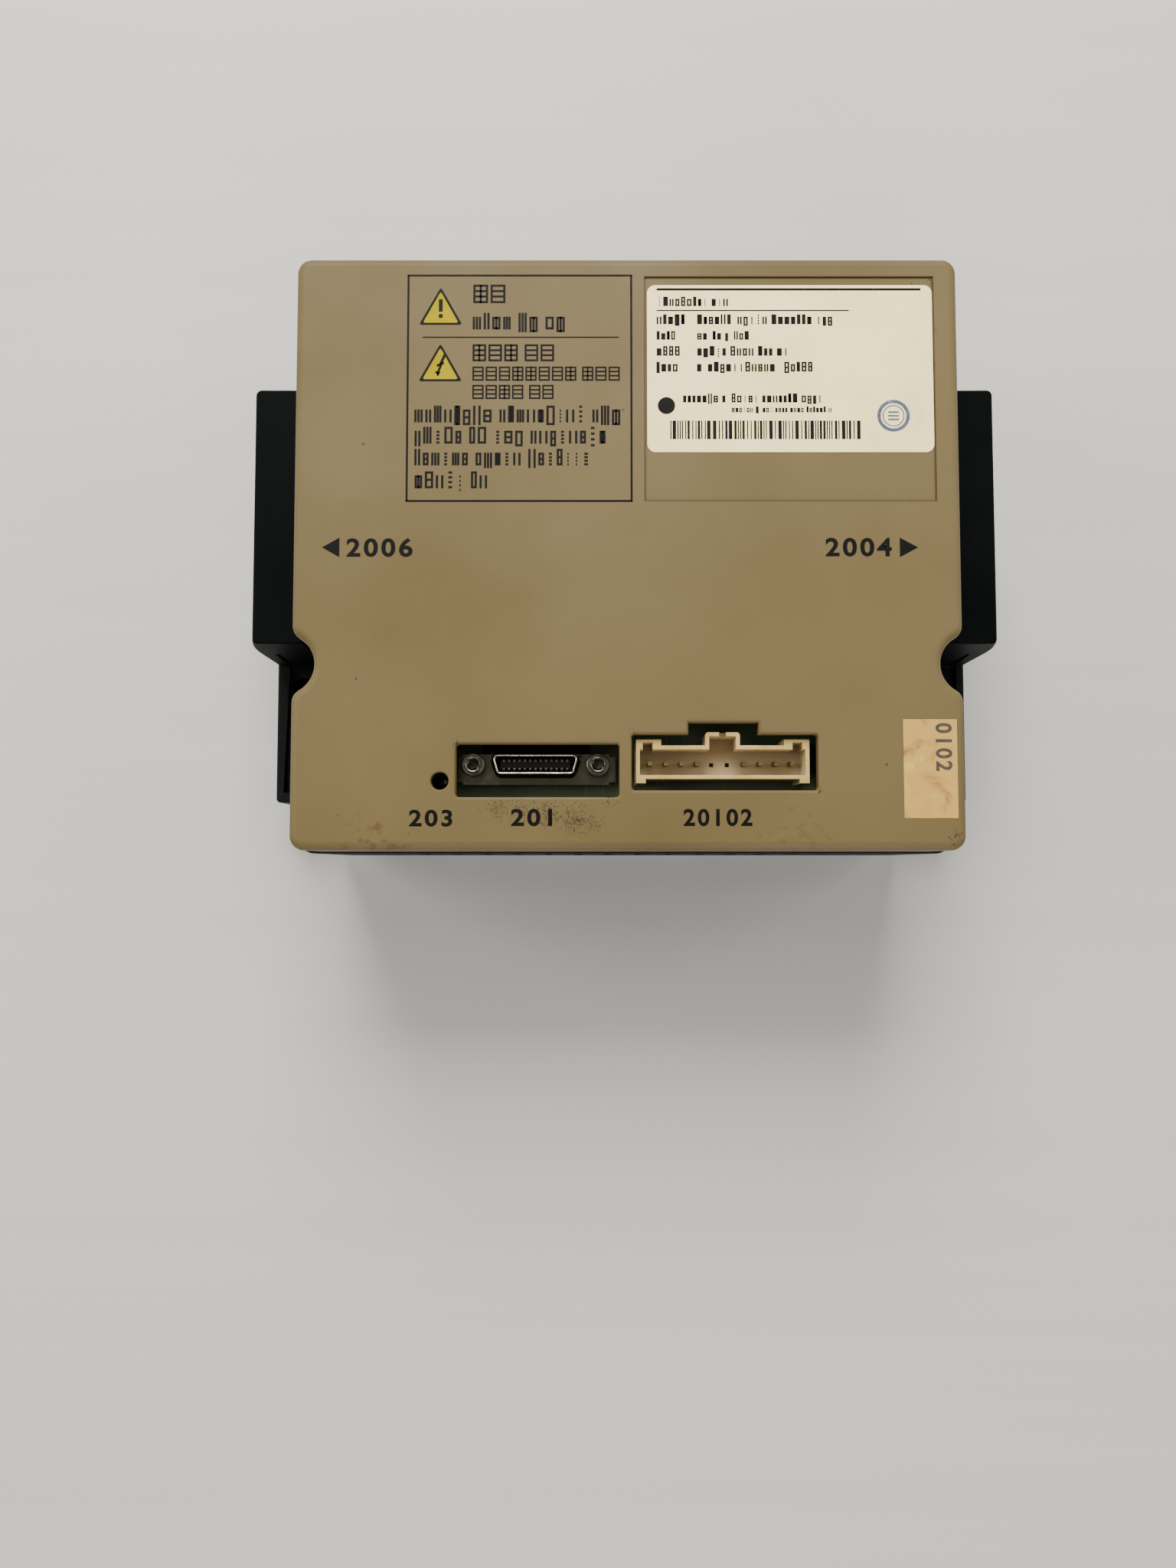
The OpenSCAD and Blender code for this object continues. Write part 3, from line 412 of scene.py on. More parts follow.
coat("bus_capacitors", moulded_plastic(
    "shrunk_pvc_sleeve", "#26303C", "#303C4A", 0.3, 1.2, 0.01, dust=0.2))
coat("film_capacitor", moulded_plastic(
    "cast_resin_box", "#9E3C2A", "#8A3526", 0.4, 0.8, 0.01, dust=0.2))
coat("current_sensors", moulded_plastic(
    "moulded_black_polyester", "#1E2226", "#282C30", 0.5, 0.4, dust=0.2))
coat("brake_relay", moulded_plastic(
    "moulded_blue_polyester", "#1D4B86", "#23518A", 0.42, 0.4, dust=0.15))
coat("brake_resistors", moulded_plastic(
    "cast_cement", "#D4CEC0", "#BDB6A6", 0.85, 0.5, 0.06, dust=0.3))
coat("transformer_core", moulded_plastic(
    "sintered_ferrite", "#37383A", "#2C2D2F", 0.7, 0.3, 0.03, dust=0.1))
coat("transformer_coil", moulded_plastic(
    "polyester_coil_tape", "#C08E2E", "#AE7F28", 0.32, 1.0, 0.01, dust=0.1))
coat("optocouplers", moulded_plastic(
    "moulded_white_epoxy", "#DEDCD3", "#D0CDC2", 0.55, 0.3, dust=0.15))

# ---- Side power connectors ----
# Cream nylon shrouds soldered to the power board, ten tinned blades in each, that face out
# through the windows of the housing and the hoods.

cream_nylon = moulded_plastic(
    "moulded_cream_nylon", "#D2C7AE", "#BFB294", 0.42, 0.6, 0.01, dust=0.3,
    dust_colour="#7B6648")
for side in ("left", "right"):
    shroud = copy_of(side + "_power_connector", side + "_power_shroud")
    round_edges(
        shroud, 0.3,
        lambda a, b: min(abs(a.x), abs(b.x)) > 90.6 and abs(a.x - b.x) < 0.01, 2)
    shade(shroud)
    settle(shroud, cream_nylon, "chassis", "connector_nylon", side + "_power_connector")
    coat(side + "_power_contacts", tinned_copper)

# ---- Board-to-board link ----
# Black pin header and socket, two rows of ten gold-flashed pins, that join the two boards.

black_polyester = moulded_plastic(
    "moulded_black_liquid_crystal_polymer", "#17181A", "#212325", 0.48, 0.3, 0.01, dust=0.1)
gold_flash = bare_metal("gold_flash", "#D1A94F", "#A98A4B", 0.26, 0.3, (1, 1, 0.2), 1.0)
coat("link_header", black_polyester)
coat("link_socket", black_polyester)
coat("link_pins", gold_flash)

# ---- Control board and the parts on it ----
# Green board close behind the cover: a processor, a gate array, memories and line
# drivers in black epoxy, a crystal in a drawn can and five surface-mount capacitors.

# The mask is paler than the board's own green: painted light on the strip seen through the
# cut-outs
coat("control_board", printed_board("control_board_mask_painted_light", "#5C6C49", "#667650", 1.3, 4))
coat("control_board_screws", zinc_steel)
for chips in ("processor", "gate_array", "memory_chips", "line_drivers"):
    coat(chips, epoxy)
drawn_can = bare_metal("drawn_nickel_silver_can", "#C9CBCC", "#A9ABAC", 0.25, 0.3, (1, 1, 1), 2.0)
coat("crystal", drawn_can)
coat("filter_capacitors", drawn_can)

# ---- Signal connector ----
# Half-pitch ribbon connector: a drawn, nickelled shell flared into its flange, black
# insulator with 26 contacts, and two slotted jack sockets turned from brass and nickelled.


def tinted_below(finish, top_mm, floor_mm, amount, colour):
    """Lets a second colour take over a finish from one height down to another."""
    shader = finish.node_tree.nodes["Principled BSDF"]
    clean = shader.inputs["Base Color"].links[0].from_socket
    place = add_node(finish, "ShaderNodeTexCoord").outputs["Object"]
    height = add_node(finish, "ShaderNodeSeparateXYZ", {"Vector": place})
    wisps = add_node(
        finish, "ShaderNodeTexNoise",
        {"Vector": place, "Scale": 1000 / 3.5, "Detail": 5.0, "Roughness": 0.65})
    wavering = add_node(
        finish, "ShaderNodeMath",
        {0: wisps.outputs["Fac"], 1: 0.5 * MM, 2: height.outputs[2]}, operation="MULTIPLY_ADD")
    depth_share = add_node(
        finish, "ShaderNodeMapRange",
        {"Value": wavering.outputs[0], "From Min": top_mm * MM, "From Max": floor_mm * MM,
         "To Min": 0, "To Max": amount})
    tinted = add_node(
        finish, "ShaderNodeMix",
        {0: depth_share.outputs[0], 6: clean, 7: linear(colour)}, data_type="RGBA")
    finish.node_tree.links.new(tinted.outputs[2], shader.inputs["Base Color"])


drawn_nickel = bare_metal(
    "drawn_nickelled_steel_flange_shaded", "#DAD4C8", "#A9A08E", 0.22, 0.5, (1, 1, 1), 2.4, 0.004)
# Painted shade, darker and browner, on the flange down in the cut-out; bright on the shell above
# it
tinted_below(drawn_nickel, 73.4, 72.4, 0.95, "#665F4A")
turned_nickel = bare_metal(
    "turned_nickelled_brass", "#8B8575", "#5F594B", 0.24, 0.3, (0.1, 0.1, 1), 2.0, 0.004)
shell = copy_of("signal_shell", "signal_shell_drawn")
plate_top, shell_top = 71.5, 75.8
shell_x, shell_y, jack_reach = -22, -51.1, 15.05
round_edges(shell, 0.2, lambda a, b: min(a.z, b.z) > shell_top - 0.02, 3)
round_edges(
    shell, 1.2,
    lambda a, b: max(abs(a.z - plate_top), abs(b.z - plate_top)) < 0.02
    and max(abs(a.x - shell_x), abs(b.x - shell_x)) < 10.6
    and max(abs(a.y - shell_y), abs(b.y - shell_y)) < 2.5
    and min(a.y, b.y) < -49.2, 5)
shade(shell, 40)
settle(shell, drawn_nickel, "chassis", "shell_nickel", "signal_shell")

jacks = copy_of("signal_jack_sockets", "signal_jack_sockets_turned")
round_edges(
    jacks, 0.3,
    lambda a, b: abs(a.z - b.z) < 0.01 and abs(a.z - 74.2) < 0.02
    and min(math.hypot(p.y - shell_y, abs(p.x - shell_x) - jack_reach) for p in (a, b)) > 2.5, 3)
round_edges(jacks, 0.14, lambda a, b: min(a.z, b.z) > 75.38, 2)
shade(jacks, 35)
settle(jacks, turned_nickel, "chassis", "jack_nickel", "signal_jack_sockets")
coat("signal_insulator", moulded_plastic(
    "glass_filled_black_polyester", "#050506", "#08090A", 0.5, 0.3, 0.008, dust=0.01, shine=0.12))
dull_gold = bare_metal("dulled_gold_flash", "#7C7664", "#4E4939", 0.4, 0.3, (1, 1, 0.2), 1.0)
coat("signal_contacts", dull_gold)

# ---- Input and output header ----
# Cream nylon header with a latch arch and two key lugs, yellowed and grimy at its rim and
# paler inside; eight tinned pins, with the two middle positions left empty.

header = copy_of("io_header", "io_header_moulding")
round_edges(
    header, 0.16,
    lambda a, b: min(a.z, b.z) > 77.4 and max(a.z, b.z) < 77.6, 2)
shade(header)
aged_nylon = moulded_plastic(
    "aged_cream_nylon", "#BFA565", "#A98C4A", 0.42, 0.6, 0.01, dust=0.45, drift_mm=6,
    dust_colour="#5C4420", shine=0.35)
# Yellowed at the rim and paler in the cavity, which light has hardly reached
tinted_below(aged_nylon, 78.5, 72.5, 0.9, "#B8A787")
settle(header, aged_nylon, "chassis", "header_nylon", "io_header")
dull_tin = bare_metal("dulled_tin_plate", "#8B8158", "#5A5132", 0.42, 0.3, (1, 1, 0.3), 0.9)
coat("io_header_pins", dull_tin)

# ---- Status lamp ----
# Unlit green lamp in tinted resin, deep behind its hole in the cover.

coat("status_led", moulded_plastic(
    "cast_green_resin", "#0E1A12", "#0A140D", 0.3, 0.8, 0.002, dust=0.03, shine=0.3))

# ---- Front cover ----
# Beige ABS moulding that clips over the housing. Its rim is generously rounded and its
# cut-outs slightly. Age has browned it in patches and left specks, scuffs and handling grime.
# The step of the label recess and the marks at its right side carry painted shade as well as
# grime.

cover_top = 80.0
cover = copy_of("front_cover", "front_cover_moulding")
round_edges(
    cover, 2.2,
    lambda a, b: min(a.z, b.z) > cover_top - 0.01 and all(
        abs(p.x) > 74.4 or abs(p.y) > 70 for p in (a, b)), 6)
round_edges(
    cover, 0.65,
    lambda a, b: min(a.z, b.z) > cover_top - 0.01 and max(a.y, b.y) < -41
    and min(a.x, b.x) > -41.5 and max(a.x, b.x) < 46, 4)
round_edges(
    cover, 0.35,
    lambda a, b: min(a.z, b.z) > cover_top - 0.01 and max(a.x, b.x) < -42
    and min(a.x, b.x) > -48 and max(a.y, b.y) < -52 and min(a.y, b.y) > -59, 3)
round_edges(
    cover, 0.4,
    lambda a, b: max(abs(a.z - 58), abs(b.z - 58)) < 0.01 and all(
        abs(p.x) > 74.4 or abs(p.y) > 71.5 for p in (a, b)), 2)
shade(cover, 30)

aged_abs, shader = new_finish("moulded_beige_abs")
place = add_node(aged_abs, "ShaderNodeTexCoord").outputs["Object"]
drift = add_node(
    aged_abs, "ShaderNodeTexNoise", {"Vector": place, "Scale": 1000 / 55, "Detail": 5.0})
browned = add_node(
    aged_abs, "ShaderNodeMapRange",
    {"Value": drift.outputs["Fac"], "From Min": 0.36, "From Max": 0.66})
tone = add_node(
    aged_abs, "ShaderNodeMix",
    {0: browned.outputs[0], 6: linear("#625536"), 7: linear("#594C2C")}, data_type="RGBA")
stains = add_node(
    aged_abs, "ShaderNodeTexNoise",
    {"Vector": place, "Scale": 1000 / 13, "Detail": 7.0, "Roughness": 0.68})
stained = add_node(
    aged_abs, "ShaderNodeMapRange",
    {"Value": stains.outputs["Fac"], "From Min": 0.55, "From Max": 0.85, "To Max": 0.1})
tone = add_node(
    aged_abs, "ShaderNodeMix",
    {0: stained.outputs[0], 6: tone.outputs[2], 7: linear("#4E3B1C")}, data_type="RGBA")
# Specks of embedded dirt, 0.2 to 0.5 mm across, about 9 mm apart
for spacing_mm, reach, strength in ((9.0, 0.045, 0.8), (3.5, 0.05, 0.35)):
    specks = add_node(
        aged_abs, "ShaderNodeTexVoronoi",
        {"Vector": place, "Scale": 1000 / spacing_mm, "Randomness": 1.0})
    size = add_node(
        aged_abs, "ShaderNodeMath",
        {0: add_node(aged_abs, "ShaderNodeSeparateColor",
                     {"Color": specks.outputs["Color"]}).outputs[0], 1: reach},
        operation="MULTIPLY")
    spot = add_node(
        aged_abs, "ShaderNodeMath", {0: specks.outputs["Distance"], 1: size.outputs[0]},
        operation="LESS_THAN")
    amount = add_node(
        aged_abs, "ShaderNodeMath", {0: spot.outputs[0], 1: strength}, operation="MULTIPLY")
    tone = add_node(
        aged_abs, "ShaderNodeMix",
        {0: amount.outputs[0], 6: tone.outputs[2], 7: linear("#3E2E1C")}, data_type="RGBA")
# Local marks: x, y, z in mm, reach in mm, how strong, grain of the mark in mm, its colour
for x, y, z, reach, strength, grain_mm, colour in (
    (-30.5, -61.6, 80, 6.5, 0.5, 0.42, "#2A2014"),
    (-25, -62.6, 80, 6.0, 0.6, 0.42, "#2A2014"),
    (-19, -63.2, 80, 6.5, 0.7, 0.42, "#2A2014"),
    (-13, -64.2, 80, 7.0, 0.7, 0.42, "#2A2014"),
    (-9, -65.4, 80, 6.0, 0.6, 0.42, "#2A2014"),
    (77.2, -68.8, 80, 3.2, 1.0, 0.9, "#3A3323"),
    # The next three marks darken the right side and upper right corner of the label recess's
    # step: painted shade there, with grime
    (73.6, 65.8, 80, 1.6, 1.2, 0.7, "#1C1207"),
    (74.0, 45.0, 80, 2.2, 0.7, 0.8, "#33240F"),
    (74.0, 53.5, 80, 1.6, 0.7, 0.8, "#33240F"),
    (-40.6, -46.6, 80, 1.5, 0.9, 0.5, "#261A0B"),
    (-4.0, -59.8, 80, 3.0, 0.9, 0.6, "#33240F"),
    (1.4, -44.2, 80, 2.2, 0.7, 0.8, "#4A3213"),
    (45.0, -44.6, 80, 1.6, 0.7, 0.8, "#4A3213"),
    (45.2, -57.8, 80, 1.8, 0.8, 0.8, "#3D2A10"),
    (-60, -71.5, 78, 14, 0.6, 2.5, "#4C3615"),
    (40, -71.5, 78, 18, 0.25, 2.5, "#4C3615"),
):
    gone = add_node(
        aged_abs, "ShaderNodeVectorMath",
        {0: place, 1: (x * MM, y * MM, z * MM)}, operation="DISTANCE")
    near = add_node(
        aged_abs, "ShaderNodeMapRange",
        {"Value": gone.outputs["Value"], "From Min": 0, "From Max": reach * MM,
         "To Min": 0.26, "To Max": 0})
    rubbed = add_node(
        aged_abs, "ShaderNodeTexNoise",
        {"Vector": place, "Scale": 1000 / grain_mm, "Detail": 3.0, "Roughness": 0.6})
    sum_of = add_node(
        aged_abs, "ShaderNodeMath", {0: rubbed.outputs["Fac"], 1: near.outputs[0]},
        operation="ADD")
    mark = add_node(
        aged_abs, "ShaderNodeMapRange",
        {"Value": sum_of.outputs[0], "From Min": 0.68, "From Max": 0.8, "To Max": strength})
    within = add_node(
        aged_abs, "ShaderNodeMath",
        {0: gone.outputs["Value"], 1: reach * MM}, operation="LESS_THAN")
    kept = add_node(
        aged_abs, "ShaderNodeMath", {0: mark.outputs[0], 1: within.outputs[0]},
        operation="MULTIPLY", use_clamp=True)
    tone = add_node(
        aged_abs, "ShaderNodeMix",
        {0: kept.outputs[0], 6: tone.outputs[2], 7: linear(colour)}, data_type="RGBA")
# Painted shade and grime along the step of the label recess, a rectangle of 69.7 by 55.1 mm
recess_x, recess_y, recess_w, recess_h = 39.15, 39.35, 69.7, 55.1
axes = add_node(aged_abs, "ShaderNodeSeparateXYZ", {"Vector": place})
beyond = []
for axis, middle, span in ((0, recess_x, recess_w), (1, recess_y, recess_h)):
    off = add_node(
        aged_abs, "ShaderNodeMath", {0: axes.outputs[axis], 1: middle * MM},
        operation="SUBTRACT")
    off = add_node(aged_abs, "ShaderNodeMath", {0: off.outputs[0]}, operation="ABSOLUTE")
    beyond.append(add_node(
        aged_abs, "ShaderNodeMath", {0: off.outputs[0], 1: span / 2 * MM},
        operation="SUBTRACT").outputs[0])
edge = add_node(aged_abs, "ShaderNodeMath", {0: beyond[0], 1: beyond[1]}, operation="MAXIMUM")
edge = add_node(aged_abs, "ShaderNodeMath", {0: edge.outputs[0]}, operation="ABSOLUTE")
caught = add_node(
    aged_abs, "ShaderNodeMapRange",
    {"Value": edge.outputs[0], "From Min": 0.08 * MM, "From Max": 0.34 * MM,
     "To Min": 0.75, "To Max": 0})
tone = add_node(
    aged_abs, "ShaderNodeMix",
    {0: caught.outputs[0], 6: tone.outputs[2], 7: linear("#3C2D14")}, data_type="RGBA")
grain = add_node(
    aged_abs, "ShaderNodeTexNoise", {"Vector": place, "Scale": 1000 / 0.5, "Detail": 2.0})
bump = add_node(
    aged_abs, "ShaderNodeBump",
    {"Height": grain.outputs["Fac"], "Distance": 0.012 * MM, "Strength": 0.8})
sheen = add_node(
    aged_abs, "ShaderNodeMapRange",
    {"Value": drift.outputs["Fac"], "From Min": 0.3, "From Max": 0.7,
     "To Min": 0.46, "To Max": 0.58})
aged_abs.node_tree.links.new(tone.outputs[2], shader.inputs["Base Color"])
aged_abs.node_tree.links.new(sheen.outputs[0], shader.inputs["Roughness"])
aged_abs.node_tree.links.new(bump.outputs[0], shader.inputs["Normal"])
shader.inputs["Specular IOR Level"].default_value = 0.2
settle(cover, aged_abs, "cover", "beige_cover", "front_cover")

# ---- Printing on the cover ----
# Black screen print, a film of ink a few hundredths of a millimetre thick: a ruled panel with
# two caution signs and set lines, an arrow and number for each side socket, and a number
# below the lamp and each connector.

screen_ink = moulded_plastic(
    "screen_printed_black_ink", "#020202", "#060504", 0.5, 0.3, 0.004, dust=0.05, drift_mm=4,
    dust_colour="#3E3018", shine=0.12)
ink_mm = 0.02


def inked_blocks(name, base, blocks, thick=ink_mm):
    """Thin closed blocks of ink on a face: each is its middle, width, height and turn."""
    bpy.ops.object.select_all(action="DESELECT")
    for count, (x, y, wide, tall, *turn) in enumerate(blocks):
        bpy.ops.mesh.primitive_cube_add(
            size=1, location=(x * MM, y * MM, (base + thick / 2) * MM),
            rotation=(0, 0, math.radians(turn[0]) if turn else 0),
            scale=(wide * MM, tall * MM, thick * MM))
        if count == 0:
            bpy.ops.object.transform_apply(location=True, rotation=True, scale=True)
            bpy.ops.object.mode_set(mode="EDIT")
    bpy.ops.object.mode_set(mode="OBJECT")
    piece = bpy.context.object
    piece.name = name
    return piece


def fitted(name, left, right, bottom, top, base, thick=ink_mm):
    """Fits the new object to a box on a face, makes it one clean mesh and names it."""
    piece = bpy.context.object
    if piece.type != "MESH":
        bpy.ops.object.convert(target="MESH")
        piece = bpy.context.object
    bpy.ops.object.transform_apply(location=True, rotation=True, scale=True)
    bpy.ops.object.mode_set(mode="EDIT")
    bpy.ops.mesh.select_all(action="SELECT")
    bpy.ops.mesh.remove_doubles(threshold=0.000001)
    bpy.ops.mesh.normals_make_consistent(inside=False)
    bpy.ops.object.mode_set(mode="OBJECT")
    places = [v.co for v in piece.data.vertices]
    low = [min(p[i] for p in places) for i in range(3)]
    high = [max(p[i] for p in places) for i in range(3)]
    wanted = ((left, right), (bottom, top), (base, base + thick))
    piece.scale = [
        (end - start) * MM / (high[i] - low[i]) for i, (start, end) in enumerate(wanted)]
    piece.location = [
        start * MM - low[i] * piece.scale[i] for i, (start, end) in enumerate(wanted)]
    bpy.ops.object.transform_apply(location=True, rotation=True, scale=True)
    piece.name = name
    return piece


def numbered(name, digits, left, right, bottom, top, base, turn=0):
    """Plain digits, filled and extruded, fitted to a box."""
    bpy.ops.object.select_all(action="DESELECT")
    bpy.ops.object.text_add(rotation=(0, 0, math.radians(turn)))
    words = bpy.context.object.data
    words.body = digits
    words.extrude = 0.1
    words.resolution_u = 6
    words.offset = 0.028
    words.space_character = 1.22
    return fitted(name, left, right, bottom, top, base)


def joined(name, pieces):
    """Joins pieces of one print into one object."""
    bpy.ops.object.select_all(action="DESELECT")
    for piece in pieces:
        piece.select_set(True)
    bpy.context.view_layer.objects.active = pieces[0]
    bpy.ops.object.join()
    bpy.context.object.name = name
    return bpy.context.object


def set_line(chance, left, right, bottom, top, word=(3, 8), dense=False):
    """A line of set type shown as plain signs of a few bars, with gaps between words."""
    tall = top - bottom
    line = (0.115 if tall > 3 else 0.15) * tall
    low, high = bottom + 0.14 * tall, bottom + 0.8 * tall
    blocks, x = [], left
    while x < right - 0.4 * tall:
        for _ in range(chance.randint(*word)):
            wide = tall * (0.78 if dense else chance.choice((0.3, 0.38, 0.42)))
            if x + wide > right:
                break
            foot = bottom if dense or chance.random() < 0.12 else low
            head = top if dense or chance.random() < 0.25 else high
            stems, bars = chance.choice((
                ((0, 1), (0, 1)), ((0, 0.5, 1), ()), ((0, 1), (0, 0.5, 1)), ((0, 0.5, 1), (0, 1)),
                ((0, 1), ()), ((), (0, 0.34, 0.67, 1))))
            if dense:
                stems, bars = chance.choice(((0, 1), (0, 0.5, 1))), (0, 0.34, 0.67, 1)
            for along in stems:
                at = x + line / 2 + along * (wide - line)
                blocks.append((at, (foot + head) / 2, line, head - foot))
            for up in bars:
                at = foot + line / 2 + up * (head - foot - line)
                blocks.append((x + wide / 2, at, wide - 2 * line, line))
            x += wide + tall * 0.13
        x += tall * 0.26
    return blocks


chance = random.Random(11)
panel_left, panel_right, panel_bottom, panel_top, rule = -52.78, 1.07, 11.69, 67.16, 0.5
blocks = [
    ((panel_left + panel_right) / 2, y, panel_right - panel_left + rule, rule)
    for y in (panel_top, panel_bottom)]
blocks += [
    (x, (panel_bottom + panel_top) / 2, rule, panel_top - panel_bottom)
    for x in (panel_left, panel_right)]
blocks.append((-25.6, 51.84, 47.4, 0.32))
for left, right, bottom, top, dense in (
    (-37.1, -25.8, 60.3, 64.9, True), (-37.2, -14.8, 53.1, 57.9, False),
    (-37.2, -14.1, 45.9, 50.1, True), (-37.2, -1.1, 41.1, 44.6, True),
    (-37.2, -16.5, 36.6, 40.1, True), (-51.1, -0.8, 30.2, 35.0, False),
    (-51.0, -2.1, 25.0, 29.8, False), (-51.0, -8.1, 19.7, 24.4, False),
    (-50.9, -32.2, 14.1, 18.9, False),
):
    blocks += set_line(chance, left, right, bottom, top, (2, 9), dense)
panel_print = inked_blocks("caution_panel_print", cover_top, blocks)

signs = []
for name, low in (("upper", 54.92), ("lower", 40.97)):
    for part, inset, base in (("border", 0.0, cover_top), ("field", 0.62, cover_top + ink_mm)):
        bpy.ops.object.select_all(action="DESELECT")
        bpy.ops.mesh.primitive_cylinder_add(vertices=3, radius=0.01, depth=0.002)
        bpy.ops.object.mode_set(mode="EDIT")
        bpy.ops.mesh.select_all(action="DESELECT")
        mesh = bmesh.from_edit_mesh(bpy.context.object.data)
        for edge in mesh.edges:
            edge.select_set(abs(edge.verts[0].co.z - edge.verts[1].co.z) > 0.001)
        bmesh.update_edit_mesh(bpy.context.object.data)
        bpy.ops.mesh.bevel(offset=0.0011, segments=4, affect="EDGES")
        bpy.ops.object.mode_set(mode="OBJECT")
        middle, half = -44.94, 5.0 - inset * 1.5
        sign = fitted(
            name + "_sign_" + part, middle - half, middle + half,
            low + inset * 0.85, low + 9.0 - inset * 1.7, base, 0.015)
        signs.append(sign)
borders, fields = signs[0::2], signs[1::2]
marks = inked_blocks("sign_marks", cover_top + 0.035, [
    (-44.94, 59.7, 0.95, 3.1), (-44.94, 57.1, 0.95, 0.95),
    (-44.35, 46.4, 0.72, 2.5, -24), (-44.95, 45.15, 1.9, 0.6, 24), (-45.2, 43.9, 0.62, 2.5, -22),
    (-45.75, 43.0, 1.1, 0.42, -52), (-45.35, 42.85, 1.2, 0.42, 62),
], 0.012)

numbers = []
for name, digits, left, right, bottom, top in (
    ("left_socket_number", "2006", -67.0, -51.2, -1.9, 2.7),
    ("right_socket_number", "2004", 47.3, 63.1, -1.8, 2.75),
    ("lamp_number", "203", -51.5, -41.3, -66.2, -62.2),
    ("signal_number", "201", -27.5, -17.8, -66.1, -62.0),
    ("header_number", "20102", 13.1, 29.3, -66.1, -62.0),
):
    numbers.append(numbered(name, digits, left, right, bottom, top, cover_top))
for name, left, right, turn in (
    ("left_arrow", -72.86, -68.69, 90), ("right_arrow", 65.02, 69.4, -90),
):
    bpy.ops.object.select_all(action="DESELECT")
    bpy.ops.mesh.primitive_cylinder_add(
        vertices=3, radius=0.01, depth=0.002, rotation=(0, 0, math.radians(turn)))
    numbers.append(fitted(name, left, right, -1.95, 2.8, cover_top))
cover_print = joined("cover_print", [panel_print, marks, *borders, *numbers])
settle(cover_print, screen_ink, "cover", "beige_cover")
sign_yellow = moulded_plastic(
    "screen_printed_yellow_ink", "#9A8C00", "#8E7F00", 0.5, 0.3, 0.004, dust=0.1, drift_mm=5,
    dust_colour="#6A4E10", shine=0.05)
settle(joined("sign_fields", fields), sign_yellow, "cover", "beige_cover")

# ---- Rating label ----
# White film with rounded corners stuck in the cover's recess, thermally printed: a heavy and
# a fine rule, set lines, a row of bars that spells nothing, and a blue inspector's stamp.

label_film, shader = new_finish("matt_white_film")
place = add_node(label_film, "ShaderNodeTexCoord").outputs["Object"]
cloudy = add_node(
    label_film, "ShaderNodeTexNoise", {"Vector": place, "Scale": 1000 / 18, "Detail": 6.0})
aged = add_node(
    label_film, "ShaderNodeMapRange",
    {"Value": cloudy.outputs["Fac"], "From Min": 0.4, "From Max": 0.75})
tone = add_node(
    label_film, "ShaderNodeMix",
    {0: aged.outputs[0], 6: linear("#FFEEAE"), 7: linear("#F5DC98")}, data_type="RGBA")
# Smears of stamp ink and thumb dirt, and darker patches: x, y and reach in mm, strength and
# colour
for x, y, reach, strength, colour in (
    (68.5, 36.5, 7.5, 0.34, "#8F97A8"), (70.5, 31.5, 5.0, 0.3, "#8F97A8"),
    (60.5, 28.5, 4.0, 0.16, "#8F97A8"), (5.5, 44, 9.0, 0.35, "#C7B48C"),
    # The last two rows darken the label near its lower edge and its upper right corner
    (40, 24.2, 14.0, 0.25, "#CDBB95"), (73.4, 62, 5.0, 0.4, "#B8A27A"),
):
    gone = add_node(
        label_film, "ShaderNodeVectorMath",
        {0: place, 1: (x * MM, y * MM, 0.0797)}, operation="DISTANCE")
    near = add_node(
        label_film, "ShaderNodeMapRange",
        {"Value": gone.outputs["Value"], "From Max": reach * MM, "To Min": strength, "To Max": 0})
    wiped = add_node(
        label_film, "ShaderNodeTexNoise",
        {"Vector": place, "Scale": 1000 / 3, "Detail": 5.0, "Roughness": 0.7})
    amount = add_node(
        label_film, "ShaderNodeMath", {0: near.outputs[0], 1: wiped.outputs["Fac"]},
        operation="MULTIPLY", use_clamp=True)
    tone = add_node(
        label_film, "ShaderNodeMix",
        {0: amount.outputs[0], 6: tone.outputs[2], 7: linear(colour)}, data_type="RGBA")
fibre = add_node(
    label_film, "ShaderNodeTexNoise", {"Vector": place, "Scale": 1000 / 0.6, "Detail": 2.0})
bump = add_node(
    label_film, "ShaderNodeBump",
    {"Height": fibre.outputs["Fac"], "Distance": 0.004 * MM, "Strength": 0.6})
label_film.node_tree.links.new(tone.outputs[2], shader.inputs["Base Color"])
label_film.node_tree.links.new(bump.outputs[0], shader.inputs["Normal"])
shader.inputs["Roughness"].default_value = 0.42
coat("rating_label", label_film)

label_top = 79.72
blocks = [((7.2 + 71.1) / 2, 63.85, 63.9, 0.6), ((7.2 + 53.7) / 2, 58.6, 46.5, 0.3)]
for left, right, bottom, top, word in (
    (7.4, 24.5, 59.3, 62.05, (9, 9)), (7.2, 15.3, 54.8, 57.65, (5, 5)),
    (17.0, 50.1, 54.8, 57.65, (4, 12)), (7.2, 13.5, 51.0, 53.5, (4, 4)),
    (17.0, 30.2, 51.0, 53.5, (5, 7)), (7.2, 13.5, 47.0, 49.8, (4, 4)),
    (17.0, 40.0, 47.0, 49.8, (3, 6)), (7.1, 13.5, 43.1, 45.9, (4, 4)),
    (16.9, 46.0, 43.1, 45.9, (14, 16)), (13.5, 47.1, 35.5, 38.1, (7, 8)),
    (25.2, 49.6, 33.2, 34.9, (3, 6)),
):
    blocks += set_line(chance, left, right, bottom, top, word)
x = 10.4
while x < 55.4:
    wide = chance.choice((0.28, 0.28, 0.28, 0.56, 0.84))
    blocks.append((x + wide / 2, 29.15, wide, 4.57))
    x += wide + chance.choice((0.28, 0.28, 0.5, 0.56))
label_blocks = inked_blocks("label_rules", label_top, blocks)
bpy.ops.object.select_all(action="DESELECT")
